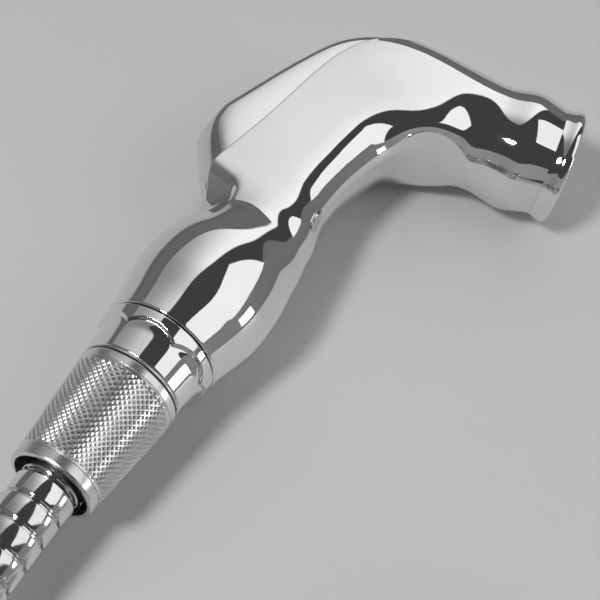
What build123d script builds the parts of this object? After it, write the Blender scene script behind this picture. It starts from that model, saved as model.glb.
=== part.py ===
"""Handheld bath sprayer with a thumb lever, a scalloped flow ring and a metal hose.

Modelled in millimetres. X runs along the inlet axis towards the head, Y towards the thumb
lever and Z up: the sprayer lies on its side, and z = 0 is its plane of symmetry until the
whole model is lifted onto the surface it lies on. x = 0 is the lower end of the body.
"""

import os
from math import atan2, ceil, cos, degrees, pi, radians, sin, sqrt, tan

from build123d import *

# ---- clearances ----
GAP = 0.3               # between bodies that move past each other
FIT = 0.05              # radial, running fits
SEAT = 0.02             # radial, parts that are pressed or screwed together
SKIRT_GAP = 0.2         # lever to channel wall, each side
OVERCUT = 1.0           # how far a cut runs past the surface it opens
EDGE = 0.5              # the broken edges of the turned rings

# ---- body: bulb, as (x, y, half height, half width) of ellipses across X ----
BULB = [
    (0.0, 0.0, 14.1, 14.1),
    (6.4, -0.4, 15.3, 14.9),
    (12.7, -0.6, 16.6, 15.9),
    (19.1, -0.7, 17.0, 16.2),
    (26.0, -1.0, 16.3, 15.5),
    (32.0, -1.6, 14.4, 13.6),
    (37.0, -2.3, 12.2, 11.4),
    (43.0, -3.5, 9.6, 8.8),
    (48.0, -4.5, 7.5, 7.0),
]

# ---- body: neck and arch, as (inner x, inner y, outer x, outer y, centre height above the
# inner point, half width, neckness) of sections that fan round the finger space ----
NECK = [
    (36.2, -13.8, 35.4, 28.5, 12.0, 9.4, 1.0),
    (40.5, -13.8, 40.2, 28.2, 12.0, 10.8, 1.0),
    (47.0, -13.5, 47.0, 27.2, 12.0, 11.2, 1.0),
    (55.4, -13.2, 56.0, 25.6, 12.0, 11.2, 1.0),
    (64.3, -13.9, 68.0, 22.4, 12.0, 11.2, 1.0),
    (73.0, -15.6, 80.0, 18.9, 12.2, 11.5, 1.0),
    (80.0, -18.2, 91.0, 15.3, 13.0, 12.0, 0.85),
    (84.5, -22.0, 101.0, 10.8, 14.5, 12.8, 0.55),
    (86.8, -27.0, 109.5, 2.0, 15.5, 13.5, 0.25),
    (87.6, -31.5, 114.2, -10.0, 16.5, 14.0, 0.05),
    (87.9, -34.0, 115.7, -21.0, 15.4, 14.1, 0.0),
]
CHAMFER_ANGLE = 41.0    # the neck's lower flanks, below the horizontal
CHAMFER_DIST = 9.6      # from the section's centre
FLANK_LEAN = 5.0        # the neck's upper flanks lean in by this many degrees
NECK_POWER = 8.0        # how square the neck's corners are
HALF_SPANS = 18

# ---- head: a turned form about an axis that leans from the row's -Y ----
HEAD_FACE = (106.4, -53.4)      # centre of the nozzle's face
HEAD_LEAN = 11.4                # degrees between the head's axis and -Y
RING_S = 5.0            # where the nozzle ring meets the head, behind the face
THROAT_R = 13.9
HEAD = [(20.0, 14.2), (16.3, 14.9), (12.5, 15.5), (8.8, 14.9), (RING_S, THROAT_R)]  # (behind it, radius)
LIP_R = 14.7
LIP_S = 1.3
FACE_R = 13.7
SPIGOT_R = 12.4
SPIGOT_S = 3.0
SPIGOT_ROOT = 1.0       # how deep the spigot stands in the head
CHAMBER_R = 11.2
CHAMBER_S = 13.0
CHAMBER_CONE = 4.0      # depth of the cone at the chamber's end
DISTRIBUTOR_STEP_S = 6.0
DISTRIBUTOR_STEP = 1.0  # radial, what the distributor bears on
DISTRIBUTOR_T = 1.4
DISTRIBUTOR_HOLES = 12
DISTRIBUTOR_HOLE_R = 0.9
DISTRIBUTOR_PITCH_R = 7.5
PLATE_T = 1.2
PLATE_LIP = 0.8
LIP_CHAMFER = 0.6
PLATE_EDGE = 0.2        # radial room round the plate
JET_R = 0.45
JET_RINGS = [(0.0, 1), (2.6, 6), (5.2, 12), (7.8, 18), (10.0, 24)]

# ---- lever ----
SEAM = [
    (42.5, 15.0),
    (50.0, 15.0),
    (64.0, 12.7),
    (79.5, 10.9),
    (94.0, 7.9),
    (103.6, 2.0),
    (109.3, -6.3),
]
RAMP_FOOT = (40.9, 14.3)
RAMP_TOP = (55.5, 25.6)
FAIRING_END = [(36.9, 6.0), (37.2, 8.6), (38.3, 12.4), (39.4, 13.4)]
STRIP_END = (112.6, -10.6)      # where the lever's strip ends on the arch
STRIP_FALL = 3.0                # how far the strip's end edge falls, half of HEIGHT further out
RIM_WALL = 0.9                  # the body's rim under the foot of the ramp
LEVER_HALF = 8.9
LEVER_WALL = 1.8
LEVER_TOP = [
    (57.0, 24.9),
    (68.0, 22.2),
    (80.0, 18.7),
    (91.0, 15.1),
    (101.0, 10.5),
    (108.6, 2.4),
    (112.4, -5.0),
]
SKIRT_DEPTH = 3.2
RECESS_ROOM = 1.7       # the arch's recess lies this much lower than the lever's lower edges
LEVER_TRAVEL = 5.0              # degrees
PIVOT = (101.0, -2.0)
PIN_R = 1.5
PIN_HALF = 11.3
EAR_R = 3.4
EAR_ROOM = 1.1
CHANNEL_FLOOR = 4.5
CHANNEL_END_X = 88.0

# ---- valve, on an axis along Y through the neck ----
VALVE_X = 72.0
CHAMBER_HALF = 6.2              # radius of the valve chamber
LOWER_HALF = 4.9                # and of its lower room, under the seat
CHAMBER_BOTTOM = -11.0
SEAT_TOP = -4.0
SEAT_T = 1.3
SEAT_HOLE_R = 3.0
STEM_R = 1.8
DISC_R = 4.0
DISC_T = 1.6
FOOT_T = 0.8
FOOT_R = 3.0
GLAND_FLANGE_R = 7.4
GLAND_FLANGE_T = 1.2
GLAND_BOTTOM = 0.8
GLAND_GROOVE_R = 3.5
GLAND_GROOVE_W = 1.6
GLAND_GROOVE_Y = 2.6
ORING_WIRE = 0.7                # radius of the O-rings' cord
STEM_HEAD_Y = 12.0
STEM_HEAD_T = 1.4
STEM_HEAD_R = 4.6
BOSS_R = 3.0
SPRING_WIRE = 0.35
SPRING_R = 3.6
SPRING_TURNS = 3.5

# ---- waterway ----
WATER_IN = [(30.0, -1.5), (44.0, -5.5), (57.0, -8.6), (VALVE_X, -8.6)]
WATER_IN_R = 2.8
WATER_OUT = [(VALVE_X, -1.4), (84.0, -4.4), (95.0, -12.5), (101.0, -23.0)]
WATER_OUT_R = 2.4
WATER_BEND = 10.0
BULB_ROOM = [(12.0, 9.5), (15.0, 11.6), (25.0, 11.6), (31.5, 5.0)]

# ---- inlet nipple and flow ring, turned about X ----
NIPPLE_IN = 12.0
NIPPLE_THREAD_R = 10.4
NIPPLE_END = -20.2
NIPPLE_BORE_R = 6.4
THROTTLE_R = 8.2
THROTTLE_X = -2.2
STATOR_T = 2.0
ROTOR_T = 2.5
THROTTLE_GAP = 0.1
PORT_IN_R = 2.0
PORT_OUT_R = 6.0
PORT_ANGLE = 70.0
SECTOR_STEP = 10.0      # degrees between the corners of a sector's cutting outline, at most
JOURNAL_R = 10.9
RING_TOP = -0.3
RING_END = -11.3
RING_TOP_R = 14.04
RING_END_R = 12.81
RING_TURN = 90.0
SCALLOPS = 6
SCALLOP_R = 16.5
SCALLOP_APEX = -3.0
SCALLOP_DEPTH = 0.6
CLIP_T = 0.5
CLIP_R = 12.1
CLIP_GROOVE = 0.6
CLIP_OPENING = 3.0      # half the clip's mouth
SEAL_X = [-3.2, -8.9]
SEAL_WIRE = 0.55        # radius of these seals' cord
SEAL_GROOVE_DEPTH = 1.15
SEAL_GROOVE_W = 1.6
DRIVE_R = 1.0
DRIVE_IN = 6.9
DRIVE_OUT = 12.2
SLOT_PLAY = 6.0         # degrees past the pin at each end of its slot

# ---- hose nut, washer, ferrule ----
NUT_TOP = -12.2
NUT_END = -40.6
NUT_TOP_R = 12.25
NUT_END_R = 9.89
NUT_THREAD_R = 10.5
NUT_SHOULDER = -24.4
NUT_SHOULDER_T = 1.5
NUT_THROAT_R = 8.1
NUT_MOUTH_R = 8.9
WASHER_T = 2.0
WASHER_IN_R = 5.5
WASHER_OUT_R = 9.9
FLANGE_T = 2.0
FLANGE_R = 9.6
SLEEVE_R = 7.6
SLEEVE_END = -30.0
FERRULE_BORE_R = 4.5
SCREEN_RISE = 3.0
SCREEN_BULGE = 0.75     # the dome's height halfway out, as a share of its rise
SCREEN_T = 0.4
SCREEN_HOLE_R = 0.55
SCREEN_RINGS = [(0.0, 1), (1.6, 6), (3.1, 12)]

# ---- hose ----
HOSE_R = 7.0
HOSE_LENGTH = 1370.0            # over the end fittings
REST_GAP = 1.0                  # the strap round the coil lies under it
FULL_TURNS = 2                  # before the last half turn
LAST_CLIMB = 20                 # degrees, by which the last half turn starts sooner
COIL_CORNER = 6.0
ROUTE_SHARE = 0.45              # of a run, that each of its two arcs takes
MAIN_RUN = [(0.0, False), (-34.0, False), (-68.0, True), (-104.0, True)]    # (along X, is it low)
TAIL_RUN = [(0.0, False), (36.0, False), (88.0, True), (124.0, True)]
TIE_T = 0.8
TIE_W = 9.0
TIE_ROOM = 0.2
FAR_SLEEVE_R = 8.6
FAR_SLEEVE_L = 15.0
FAR_NUT_FLATS = 24.0
FAR_NUT_L = 14.0
FAR_FLANGE_T = 2.0
FAR_SHOULDER_T = 2.5
FAR_ROOM_R = 10.2               # round the flange and the seal

# ---- values that follow from the ones above ----
HEAD_OUT = Vector(sin(radians(HEAD_LEAN)), -cos(radians(HEAD_LEAN)), 0)     # out of the nozzle
HEAD_SIDE = Vector(cos(radians(HEAD_LEAN)), sin(radians(HEAD_LEAN)), 0)
FACE = Vector(*HEAD_FACE, 0)
FLOOR = -max(half_width for _, _, _, half_width in BULB)
END_R = sqrt((PIVOT[0] - RAMP_FOOT[0]) ** 2 + (PIVOT[1] - RAMP_FOOT[1]) ** 2)
CHANNEL_HALF = LEVER_HALF + SKIRT_GAP
HEIGHT = 60.0           # past every section, for cutting prisms
WASHER_TOP = NIPPLE_END
WASHER_END = WASHER_TOP - WASHER_T
FLANGE_END = WASHER_END - FLANGE_T
AXIS_Z = FLOOR + REST_GAP + HOSE_R      # of a hose that lies on the surface
FAR_AXIS_Z = FLOOR + FAR_NUT_FLATS / 2


# ---- helpers ----
def prism(points, half, close=True):
    """The polygon through points in the plane of symmetry, as thick as half each way."""
    face = make_face(Polyline(*points, close=close))
    return extrude(Plane.XY.offset(-half) * face, 2 * half)


def cylinder(start, end, radius):
    """A cylinder between two points."""
    way = Vector(*end) - Vector(*start)
    return Solid.make_cylinder(radius, way.length, Plane(origin=start, z_dir=way))


def turned(profile, origin=(0, 0, 0), along=(1, 0, 0)):
    """The (distance along, radius) profile turned about the axis through origin."""
    way = Vector(*along).normalized()
    side = Vector(0, 0, 1)
    place = Plane(origin=origin, x_dir=way, z_dir=way.cross(side))
    face = place * make_face(Polyline(*profile, close=True))
    return revolve(face, Axis(origin, way))


def tube(start, end, outer, inner):
    """A ring about the X axis between two stations."""
    return turned([(start, inner), (end, inner), (end, outer), (start, outer)])


def ring_wire(station, radius, wire):
    """An O-ring about the X axis."""
    place = Plane(origin=(station, 0, 0), z_dir=(1, 0, 0))
    return place * Torus(radius, wire)


def on_head(s, r):
    """A point in the plane of symmetry, s behind the nozzle's face and r out from its axis."""
    return FACE - HEAD_OUT * s + HEAD_SIDE * r


def head_turned(profile):
    """The (distance behind the face, radius) profile turned about the head's axis."""
    return turned(profile, tuple(FACE), tuple(-HEAD_OUT))


def passage(points, radius, bend):
    """A round passage along straight runs with bends in the plane of symmetry."""
    path = FilletPolyline(*points, radius=bend)
    start = Plane(origin=path @ 0, z_dir=path % 0)
    return sweep(start * Circle(radius), path=path)


def outline_radius(angle, low, high, half_width, neck):
    """A section's radius at an angle from the horizontal: straight walls, rounded into each other.

    Each wall is a line at its own distance from the centre. The powers of the walls' terms are
    added up: power 2 with upright walls is an ellipse, a high power is close to the polygon.
    """
    across = abs(cos(angle))
    up = sin(angle)
    power = 2 + NECK_POWER * neck
    lean = radians(FLANK_LEAN) * neck
    chamfer = radians(CHAMFER_ANGLE)
    walls = [
        (across * cos(lean) + up * sin(lean)) / half_width,
        up / high,
        -up / low,
        neck * (across * cos(chamfer) - up * sin(chamfer)) / CHAMFER_DIST,
    ]
    return sum(max(wall, 0) ** power for wall in walls) ** (-1 / power)


def section(inner, outer, low, half_width, neck):
    """The closed line round the section between two points of the plane of symmetry, in two halves."""
    start = Vector(*inner, 0)
    way = (Vector(*outer, 0) - start).normalized()
    high = (Vector(*outer, 0) - start).length - low
    halves = []
    for first in (-pi / 2, pi / 2):
        points = []
        for k in range(HALF_SPANS + 1):
            angle = first + pi * k / HALF_SPANS
            radius = outline_radius(angle, low, high, half_width, neck)
            points.append(start + way * (low + radius * sin(angle)) + Vector(0, 0, radius * cos(angle)))
        halves.append(Edge.make_spline(points))
    return Wire(halves)


def bulb_form():
    """The egg-shaped grip, from the flow ring into the neck."""
    lines = [section((x, y - high), (x, y + high), high, wide, 0) for x, y, high, wide in BULB]
    return Solid.make_loft(lines)


def neck_form():
    """Neck, arch and head in one sweep, with the lever's outer surface still on them."""
    lines = [section((x, y), (u, v), low, wide, neck) for x, y, u, v, low, wide, neck in NECK]
    for s, r in HEAD:
        inner = on_head(s, -r)
        outer = on_head(s, r)
        lines.append(section((inner.X, inner.Y), (outer.X, outer.Y), r, r, 0))
    end = [*FAIRING_END, RAMP_FOOT, RAMP_TOP, (RAMP_TOP[0], HEIGHT), (0, HEIGHT), (0, FAIRING_END[0][1])]
    return Solid.make_loft(lines) - prism(end, HEIGHT)


def above_seam(drop=0.0, end_gap=0.0):
    """Everything on the lever's side of the seam, which can be lowered and end a gap earlier."""
    foot = (RAMP_FOOT[0] - RIM_WALL, RAMP_FOOT[1] - RIM_WALL - drop)
    end_x, end_y = STRIP_END[0], STRIP_END[1] + end_gap
    line = Spline(foot, *[(x, y - drop) for x, y in SEAM], (end_x, end_y))
    rest = Polyline(line @ 1, (end_x + HEIGHT / 2, end_y - STRIP_FALL), (end_x + HEIGHT / 2, HEIGHT),
                    (foot[0], HEIGHT), foot)
    return extrude(Plane.XY.offset(-HEIGHT) * make_face([line, *rest.edges()]), 2 * HEIGHT)


# ---- pieces of the handle ----
def outer_form():
    """The body's and the lever's common outer form."""
    return bulb_form() + neck_form()


def stem_bore(bottom, top, radius):
    """A cylinder on the valve's axis."""
    return cylinder((VALVE_X, bottom, 0), (VALVE_X, top, 0), radius)


def across(x, y, radius, half):
    """A cylinder across the plane of symmetry."""
    return cylinder((x, y, -half), (x, y, half), radius)


def channel():
    """The room the lever sinks into: between the body's side walls, down to the floor."""
    corners = [(0, CHANNEL_FLOOR), (CHANNEL_END_X, CHANNEL_FLOOR), (CHANNEL_END_X, HEIGHT), (0, HEIGHT)]
    straight = prism(corners, CHANNEL_HALF) & across(*PIVOT, END_R + GAP, CHANNEL_HALF)
    beyond = Pos(CHANNEL_END_X + 2 * HEIGHT, 0, 0) * Box(4 * HEIGHT, 4 * HEIGHT, 2 * CHANNEL_HALF)
    arch = above_seam(SKIRT_DEPTH + RECESS_ROOM) & beyond
    return straight + arch + across(*PIVOT, EAR_R + EAR_ROOM, CHANNEL_HALF)


def body(form):
    """The casting: grip, neck and head, with channel, waterway, valve room and nozzle room."""
    root = RING_S + SPIGOT_ROOT
    spigot = head_turned([(SPIGOT_S, 0), (root, 0), (root, SPIGOT_R), (SPIGOT_S, SPIGOT_R)])
    inner_r = CHAMBER_R - DISTRIBUTOR_STEP
    nozzle_room = [
        (SPIGOT_S - OVERCUT, 0),
        (SPIGOT_S - OVERCUT, CHAMBER_R),
        (DISTRIBUTOR_STEP_S, CHAMBER_R),
        (DISTRIBUTOR_STEP_S, inner_r),
        (CHAMBER_S, inner_r),
        (CHAMBER_S + CHAMBER_CONE, 0),
    ]
    thread_r = NIPPLE_THREAD_R + SEAT
    inlet_room = [(0, 0), (0, thread_r), (NIPPLE_IN, thread_r), *BULB_ROOM, (BULB_ROOM[-1][0], 0)]
    last = on_head(CHAMBER_S + CHAMBER_CONE / 2, 0)
    shape = form - above_seam() - channel() + spigot
    shape -= turned(inlet_room)
    shape -= passage(WATER_IN, WATER_IN_R, WATER_BEND)
    shape -= passage([*WATER_OUT, (last.X, last.Y)], WATER_OUT_R, WATER_BEND)
    shape -= stem_bore(SEAT_TOP - SEAT_T, CHANNEL_FLOOR + OVERCUT, CHAMBER_HALF)
    shape -= stem_bore(CHAMBER_BOTTOM, CHANNEL_FLOOR, LOWER_HALF)
    shape -= head_turned(nozzle_room)
    shape -= across(*PIVOT, PIN_R + SEAT, PIN_HALF)
    return shape


def lever(form):
    """The thumb lever: a hollow cover with side skirts, pivot ears and a boss over the stem."""
    foot_y = RAMP_FOOT[1]
    upper = prism([(0, foot_y), (3 * HEIGHT, foot_y), (3 * HEIGHT, HEIGHT), (0, HEIGHT)], LEVER_HALF)
    width = Box(8 * HEIGHT, 8 * HEIGHT, 2 * LEVER_HALF)
    zone = above_seam(SKIRT_DEPTH, GAP) & width & (across(*PIVOT, END_R, LEVER_HALF) + upper)
    slope = atan2(RAMP_TOP[1] - foot_y, RAMP_TOP[0] - RAMP_FOOT[0])
    foot = (RAMP_FOOT[0] + LEVER_WALL / sin(slope), foot_y)
    inner_half = LEVER_HALF - LEVER_WALL
    top = Spline(*[(x, y - LEVER_WALL) for x, y in LEVER_TOP])
    rest = Polyline(top @ 1, (LEVER_TOP[-1][0], -HEIGHT), (foot[0], -HEIGHT), foot, top @ 0)
    hollow = extrude(Plane.XY.offset(-inner_half) * make_face([top, *rest.edges()]), 2 * inner_half)
    ears = across(*PIVOT, EAR_R, LEVER_HALF) - across(*PIVOT, EAR_R + OVERCUT, inner_half)
    ball_y = STEM_HEAD_Y + GAP + BOSS_R
    boss = stem_bore(ball_y, RAMP_TOP[1], BOSS_R) & form
    ball = Pos(VALVE_X, ball_y, 0) * Sphere(BOSS_R)
    return (form & zone) - hollow + ears + boss + ball - across(*PIVOT, PIN_R + FIT, HEIGHT)


def valve_stem():
    """The stem with its head under the lever and the foot that carries the rubber disc."""
    disc_bottom = SEAT_TOP - SEAT_T - DISC_T - FIT
    head_bottom = STEM_HEAD_Y - STEM_HEAD_T
    stem = stem_bore(disc_bottom, head_bottom, STEM_R)
    foot = stem_bore(disc_bottom - FOOT_T, disc_bottom, FOOT_R)
    head = stem_bore(head_bottom, STEM_HEAD_Y, STEM_HEAD_R)
    return stem + foot + head


def valve_disc():
    """The rubber disc on the stem, shut against the underside of the seat."""
    top = SEAT_TOP - SEAT_T - FIT
    return stem_bore(top - DISC_T, top, DISC_R) - stem_bore(top - DISC_T, top, STEM_R)


def valve_seat():
    """The ring in the valve room that the disc shuts against."""
    bottom = SEAT_TOP - SEAT_T
    return stem_bore(bottom, SEAT_TOP, CHAMBER_HALF - SEAT) - stem_bore(bottom, SEAT_TOP, SEAT_HOLE_R)


def stem_gland():
    """The threaded bush that closes the valve room and guides the stem."""
    flange = stem_bore(CHANNEL_FLOOR, CHANNEL_FLOOR + GLAND_FLANGE_T, GLAND_FLANGE_R)
    plug = stem_bore(GLAND_BOTTOM, CHANNEL_FLOOR, CHAMBER_HALF - SEAT)
    half = GLAND_GROOVE_W / 2
    groove = stem_bore(GLAND_GROOVE_Y - half, GLAND_GROOVE_Y + half, GLAND_GROOVE_R)
    bore = stem_bore(GLAND_BOTTOM, CHANNEL_FLOOR + GLAND_FLANGE_T, STEM_R + FIT)
    return flange + plug - groove - bore


def stem_o_ring():
    """The seal in the gland's groove, round the stem."""
    radius = STEM_R + FIT + ORING_WIRE
    place = Plane(origin=(VALVE_X, GLAND_GROOVE_Y, 0), z_dir=(0, 1, 0))
    return place * Torus(radius, ORING_WIRE)


def return_spring():
    """The coil spring between the gland and the stem's head."""
    bottom = CHANNEL_FLOOR + GLAND_FLANGE_T + SPRING_WIRE + FIT
    height = STEM_HEAD_Y - STEM_HEAD_T - SPRING_WIRE - FIT - bottom
    path = Helix(height / SPRING_TURNS, height, SPRING_R, center=(0, 0, 0), direction=(0, 0, 1))
    start = Plane(origin=path @ 0, z_dir=path % 0)
    coil = sweep(start * Circle(SPRING_WIRE), path=path, is_frenet=True)
    return Plane(origin=(VALVE_X, bottom, 0), z_dir=(0, 1, 0)) * coil


def lever_pivot_pin():
    """The hidden pin in the arch's side walls that the lever turns on."""
    return across(*PIVOT, PIN_R, PIN_HALF - SEAT)


# ---- nozzle ----
def nozzle_ring():
    """The flared rim, screwed on the head's spigot; its lip holds the spray plate."""
    back = RING_S - FIT
    plate_r = SPIGOT_R + SEAT
    curve = Spline((0, FACE_R), (LIP_S, LIP_R), (back, THROAT_R), tangents=[(0.1, 1), (1, -0.1)])
    rest = Polyline((back, THROAT_R), (back, plate_r), (PLATE_LIP, plate_r), (PLATE_LIP, CHAMBER_R),
                    (0, CHAMBER_R + LIP_CHAMFER), (0, FACE_R))
    place = Plane(origin=FACE, x_dir=-HEAD_OUT, z_dir=(-HEAD_OUT).cross(Vector(0, 0, 1)))
    return revolve(place * make_face([curve, *rest.edges()]), Axis(FACE, -HEAD_OUT))


def pattern_holes(rings, radius, depth):
    """Upright holes on rings of (pitch radius, count) about the origin."""
    holes = []
    for pitch, count in rings:
        for k in range(count):
            angle = 360 * k / count
            holes.append(Rot(0, 0, angle) * Pos(pitch, 0, 0) * Cylinder(radius, depth))
    return holes


def disc_on_head(s, thickness, radius, rings, hole_r):
    """A perforated disc that lies from s to s + thickness behind the nozzle's face."""
    disc = Cylinder(radius, thickness) - pattern_holes(rings, hole_r, 2 * thickness)
    return Plane(origin=on_head(s + thickness / 2, 0), x_dir=(0, 0, 1), z_dir=-HEAD_OUT) * disc


def spray_plate():
    """The perforated plate behind the rim's lip."""
    return disc_on_head(PLATE_LIP, PLATE_T, SPIGOT_R - PLATE_EDGE, JET_RINGS, JET_R)


def nozzle_gasket():
    """The flat rubber ring between the spray plate and the spigot."""
    front = PLATE_LIP + PLATE_T
    return head_turned([(front, CHAMBER_R), (SPIGOT_S, CHAMBER_R), (SPIGOT_S, SPIGOT_R - PLATE_EDGE),
                        (front, SPIGOT_R - PLATE_EDGE)])


def flow_distributor():
    """The disc that spreads the water before the spray plate."""
    rings = [(DISTRIBUTOR_PITCH_R, DISTRIBUTOR_HOLES)]
    return disc_on_head(DISTRIBUTOR_STEP_S - DISTRIBUTOR_T, DISTRIBUTOR_T, CHAMBER_R - FIT, rings,
                        DISTRIBUTOR_HOLE_R)


# ---- inlet ----
def on_inlet(shape):
    """A shape made about Z, laid along the inlet axis with its foot at x = 0."""
    return Plane(origin=(0, 0, 0), x_dir=(0, 0, 1), z_dir=(1, 0, 0)) * shape


def sector(start, end, radius, thickness, turn):
    """A sector of a disc about the inlet axis, from start to end in degrees, its foot at x = 0."""
    steps = max(2, ceil((end - start) / SECTOR_STEP))
    rim = [start + (end - start) * k / steps for k in range(steps + 1)]
    far = radius / cos(radians(SECTOR_STEP))
    points = [(0, 0)] + [(far * cos(radians(a)), far * sin(radians(a))) for a in rim]
    wedge = extrude(make_face(Polyline(*points, close=True)), thickness)
    return on_inlet(Rot(0, 0, turn) * (wedge & Cylinder(radius, 3 * thickness)))


def throttle_disc(start, thickness):
    """A disc with two ports, which lets the most water through when its ports face the other's."""
    disc = tube(start, start + thickness, THROTTLE_R - FIT, 0)
    for turn in (0, 180):
        port = sector(0, PORT_ANGLE, PORT_OUT_R, thickness, turn)
        port -= sector(0, PORT_ANGLE, PORT_IN_R, thickness, turn)
        disc -= Pos(start, 0, 0) * port
    return disc


def rotor_start():
    """Where the rotor begins along X."""
    return THROTTLE_X - STATOR_T - THROTTLE_GAP - ROTOR_T


def drive_x():
    """The middle of the rotor, where the drive pin crosses the nipple."""
    return rotor_start() + ROTOR_T / 2


def inlet_nipple():
    """The nipple screwed into the grip, with the flow ring's journal, its seals and its pin's slot."""
    outside = [
        (NIPPLE_END, 0),
        (NIPPLE_END, NIPPLE_THREAD_R),
        (clip_start(), NIPPLE_THREAD_R),
        (clip_start(), NIPPLE_THREAD_R - CLIP_GROOVE),
        (clip_start() + CLIP_T + FIT, NIPPLE_THREAD_R - CLIP_GROOVE),
        (clip_start() + CLIP_T + FIT, JOURNAL_R),
        (0, JOURNAL_R),
        (0, NIPPLE_THREAD_R),
        (NIPPLE_IN - GAP, NIPPLE_THREAD_R),
        (NIPPLE_IN - GAP, 0),
    ]
    shape = turned(outside)
    shape -= tube(NIPPLE_END, NIPPLE_IN, NIPPLE_BORE_R, 0)
    shape -= tube(NIPPLE_END, THROTTLE_X, THROTTLE_R, 0)
    half = SEAL_GROOVE_W / 2
    for x in SEAL_X:
        shape -= tube(x - half, x + half, JOURNAL_R + OVERCUT, JOURNAL_R - SEAL_GROOVE_DEPTH)
    slot_half = degrees(DRIVE_R / THROTTLE_R)
    slot = sector(-slot_half - SLOT_PLAY, RING_TURN + slot_half + SLOT_PLAY, JOURNAL_R + OVERCUT,
                  2 * (DRIVE_R + FIT), 0)
    return shape - Pos(drive_x() - DRIVE_R - FIT, 0, 0) * slot


def clip_start():
    """The lower face of the clip that keeps the flow ring on its journal."""
    return RING_END - GAP / 2 - CLIP_T


def ring_r(x):
    """The flow ring's outer radius along X."""
    share = (x - RING_TOP) / (RING_END - RING_TOP)
    return RING_TOP_R + share * (RING_END_R - RING_TOP_R)


def control_ring():
    """The scalloped ring that turns on the nipple and drives the throttle."""
    outside = [
        (RING_END, JOURNAL_R + FIT),
        (RING_END, RING_END_R - EDGE),
        (RING_END + EDGE, ring_r(RING_END + EDGE)),
        (RING_TOP - EDGE, ring_r(RING_TOP - EDGE)),
        (RING_TOP, RING_TOP_R - EDGE),
        (RING_TOP, JOURNAL_R + FIT),
    ]
    recess = [
        (RING_END - OVERCUT, ring_r(RING_END) - SCALLOP_DEPTH),
        (0, ring_r(0) - SCALLOP_DEPTH),
        (0, RING_TOP_R + OVERCUT),
        (RING_END - OVERCUT, RING_TOP_R + OVERCUT),
    ]
    centre_x = SCALLOP_APEX - SCALLOP_R
    arches = []
    for k in range(SCALLOPS):
        angle = radians(360 * k / SCALLOPS)
        away = (centre_x, HEIGHT * sin(angle), HEIGHT * cos(angle))
        arches.append(cylinder((centre_x, 0, 0), away, SCALLOP_R))
    cut = turned(recess) & Part() + arches
    pin_hole = cylinder((drive_x(), 0, 0), (drive_x(), 0, DRIVE_OUT + SEAT), DRIVE_R + SEAT)
    return turned(outside) - cut - pin_hole


def ring_o_rings():
    """The two seals between the nipple's journal and the flow ring."""
    radius = JOURNAL_R + FIT / 2 - SEAL_WIRE
    return Compound([ring_wire(x, radius, SEAL_WIRE) for x in SEAL_X])


def ring_clip():
    """The clip in the nipple's groove that keeps the flow ring on, open on one side."""
    inner = NIPPLE_THREAD_R - CLIP_GROOVE + SEAT
    clip = tube(clip_start() + FIT / 2, clip_start() + CLIP_T, CLIP_R, inner)
    return clip - Pos(clip_start(), -CLIP_R, 0) * Box(4 * CLIP_T, 2 * CLIP_R, 2 * CLIP_OPENING)


def drive_pin():
    """The pin from the flow ring through the nipple's slot into the rotor."""
    return cylinder((drive_x(), 0, DRIVE_IN), (drive_x(), 0, DRIVE_OUT), DRIVE_R)


def throttle_rotor():
    """The ported disc that turns with the flow ring."""
    hole = cylinder((drive_x(), 0, DRIVE_IN - SEAT), (drive_x(), 0, THROTTLE_R + OVERCUT), DRIVE_R + SEAT)
    return throttle_disc(rotor_start(), ROTOR_T) - hole


def throttle_stator():
    """The ported disc that stays with the nipple."""
    return throttle_disc(THROTTLE_X - STATOR_T, STATOR_T)


def throttle_spacer():
    """The sleeve that holds the throttle discs up in the nipple."""
    return tube(NIPPLE_END, rotor_start() - THROTTLE_GAP, THROTTLE_R - SEAT, NIPPLE_BORE_R)


# ---- hose end ----
def nut_r(x):
    """The hose nut's outer radius along X."""
    return NUT_TOP_R + (x - NUT_TOP) / (NUT_END - NUT_TOP) * (NUT_END_R - NUT_TOP_R)


def hose_nut():
    """The cone nut: threaded bore, shoulder behind the ferrule's flange, open mouth round the hose."""
    return turned([
        (NUT_TOP, NUT_THREAD_R),
        (NUT_TOP, NUT_TOP_R - EDGE),
        (NUT_TOP - EDGE, nut_r(NUT_TOP - EDGE)),
        (NUT_END + EDGE, nut_r(NUT_END + EDGE)),
        (NUT_END, NUT_END_R - EDGE),
        (NUT_END, NUT_MOUTH_R),
        (NUT_SHOULDER - NUT_SHOULDER_T, NUT_THROAT_R),
        (NUT_SHOULDER, NUT_THROAT_R),
        (NUT_SHOULDER, NUT_THREAD_R),
    ])


def hose_washer():
    """The flat seal between the nipple and the ferrule."""
    return tube(WASHER_END, WASHER_TOP, WASHER_OUT_R, WASHER_IN_R)


def filter_screen():
    """The domed strainer that sits in the washer's hole."""
    edge = WASHER_IN_R - FIT
    middle = WASHER_TOP + SCREEN_BULGE * SCREEN_RISE
    crown = WASHER_TOP + SCREEN_RISE
    arc = ThreePointArc((WASHER_TOP, edge), (middle, edge / 2), (crown, 0))
    inner = ThreePointArc((crown - SCREEN_T, 0), (middle - SCREEN_T, (edge - SCREEN_T) / 2),
                          (WASHER_TOP, edge - SCREEN_T))
    skirt = Polyline((WASHER_TOP, edge - SCREEN_T), (WASHER_END, edge - SCREEN_T), (WASHER_END, edge),
                     (WASHER_TOP, edge))
    tip = Line((crown, 0), (crown - SCREEN_T, 0))
    place = Plane(origin=(0, 0, 0), x_dir=(1, 0, 0), z_dir=(0, -1, 0))
    dome = revolve(place * make_face([arc, tip, inner, *skirt.edges()]), Axis.X)
    holes = Part() + pattern_holes(SCREEN_RINGS, SCREEN_HOLE_R, HEIGHT)
    return dome - Pos(WASHER_TOP, 0, 0) * on_inlet(holes)


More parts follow.
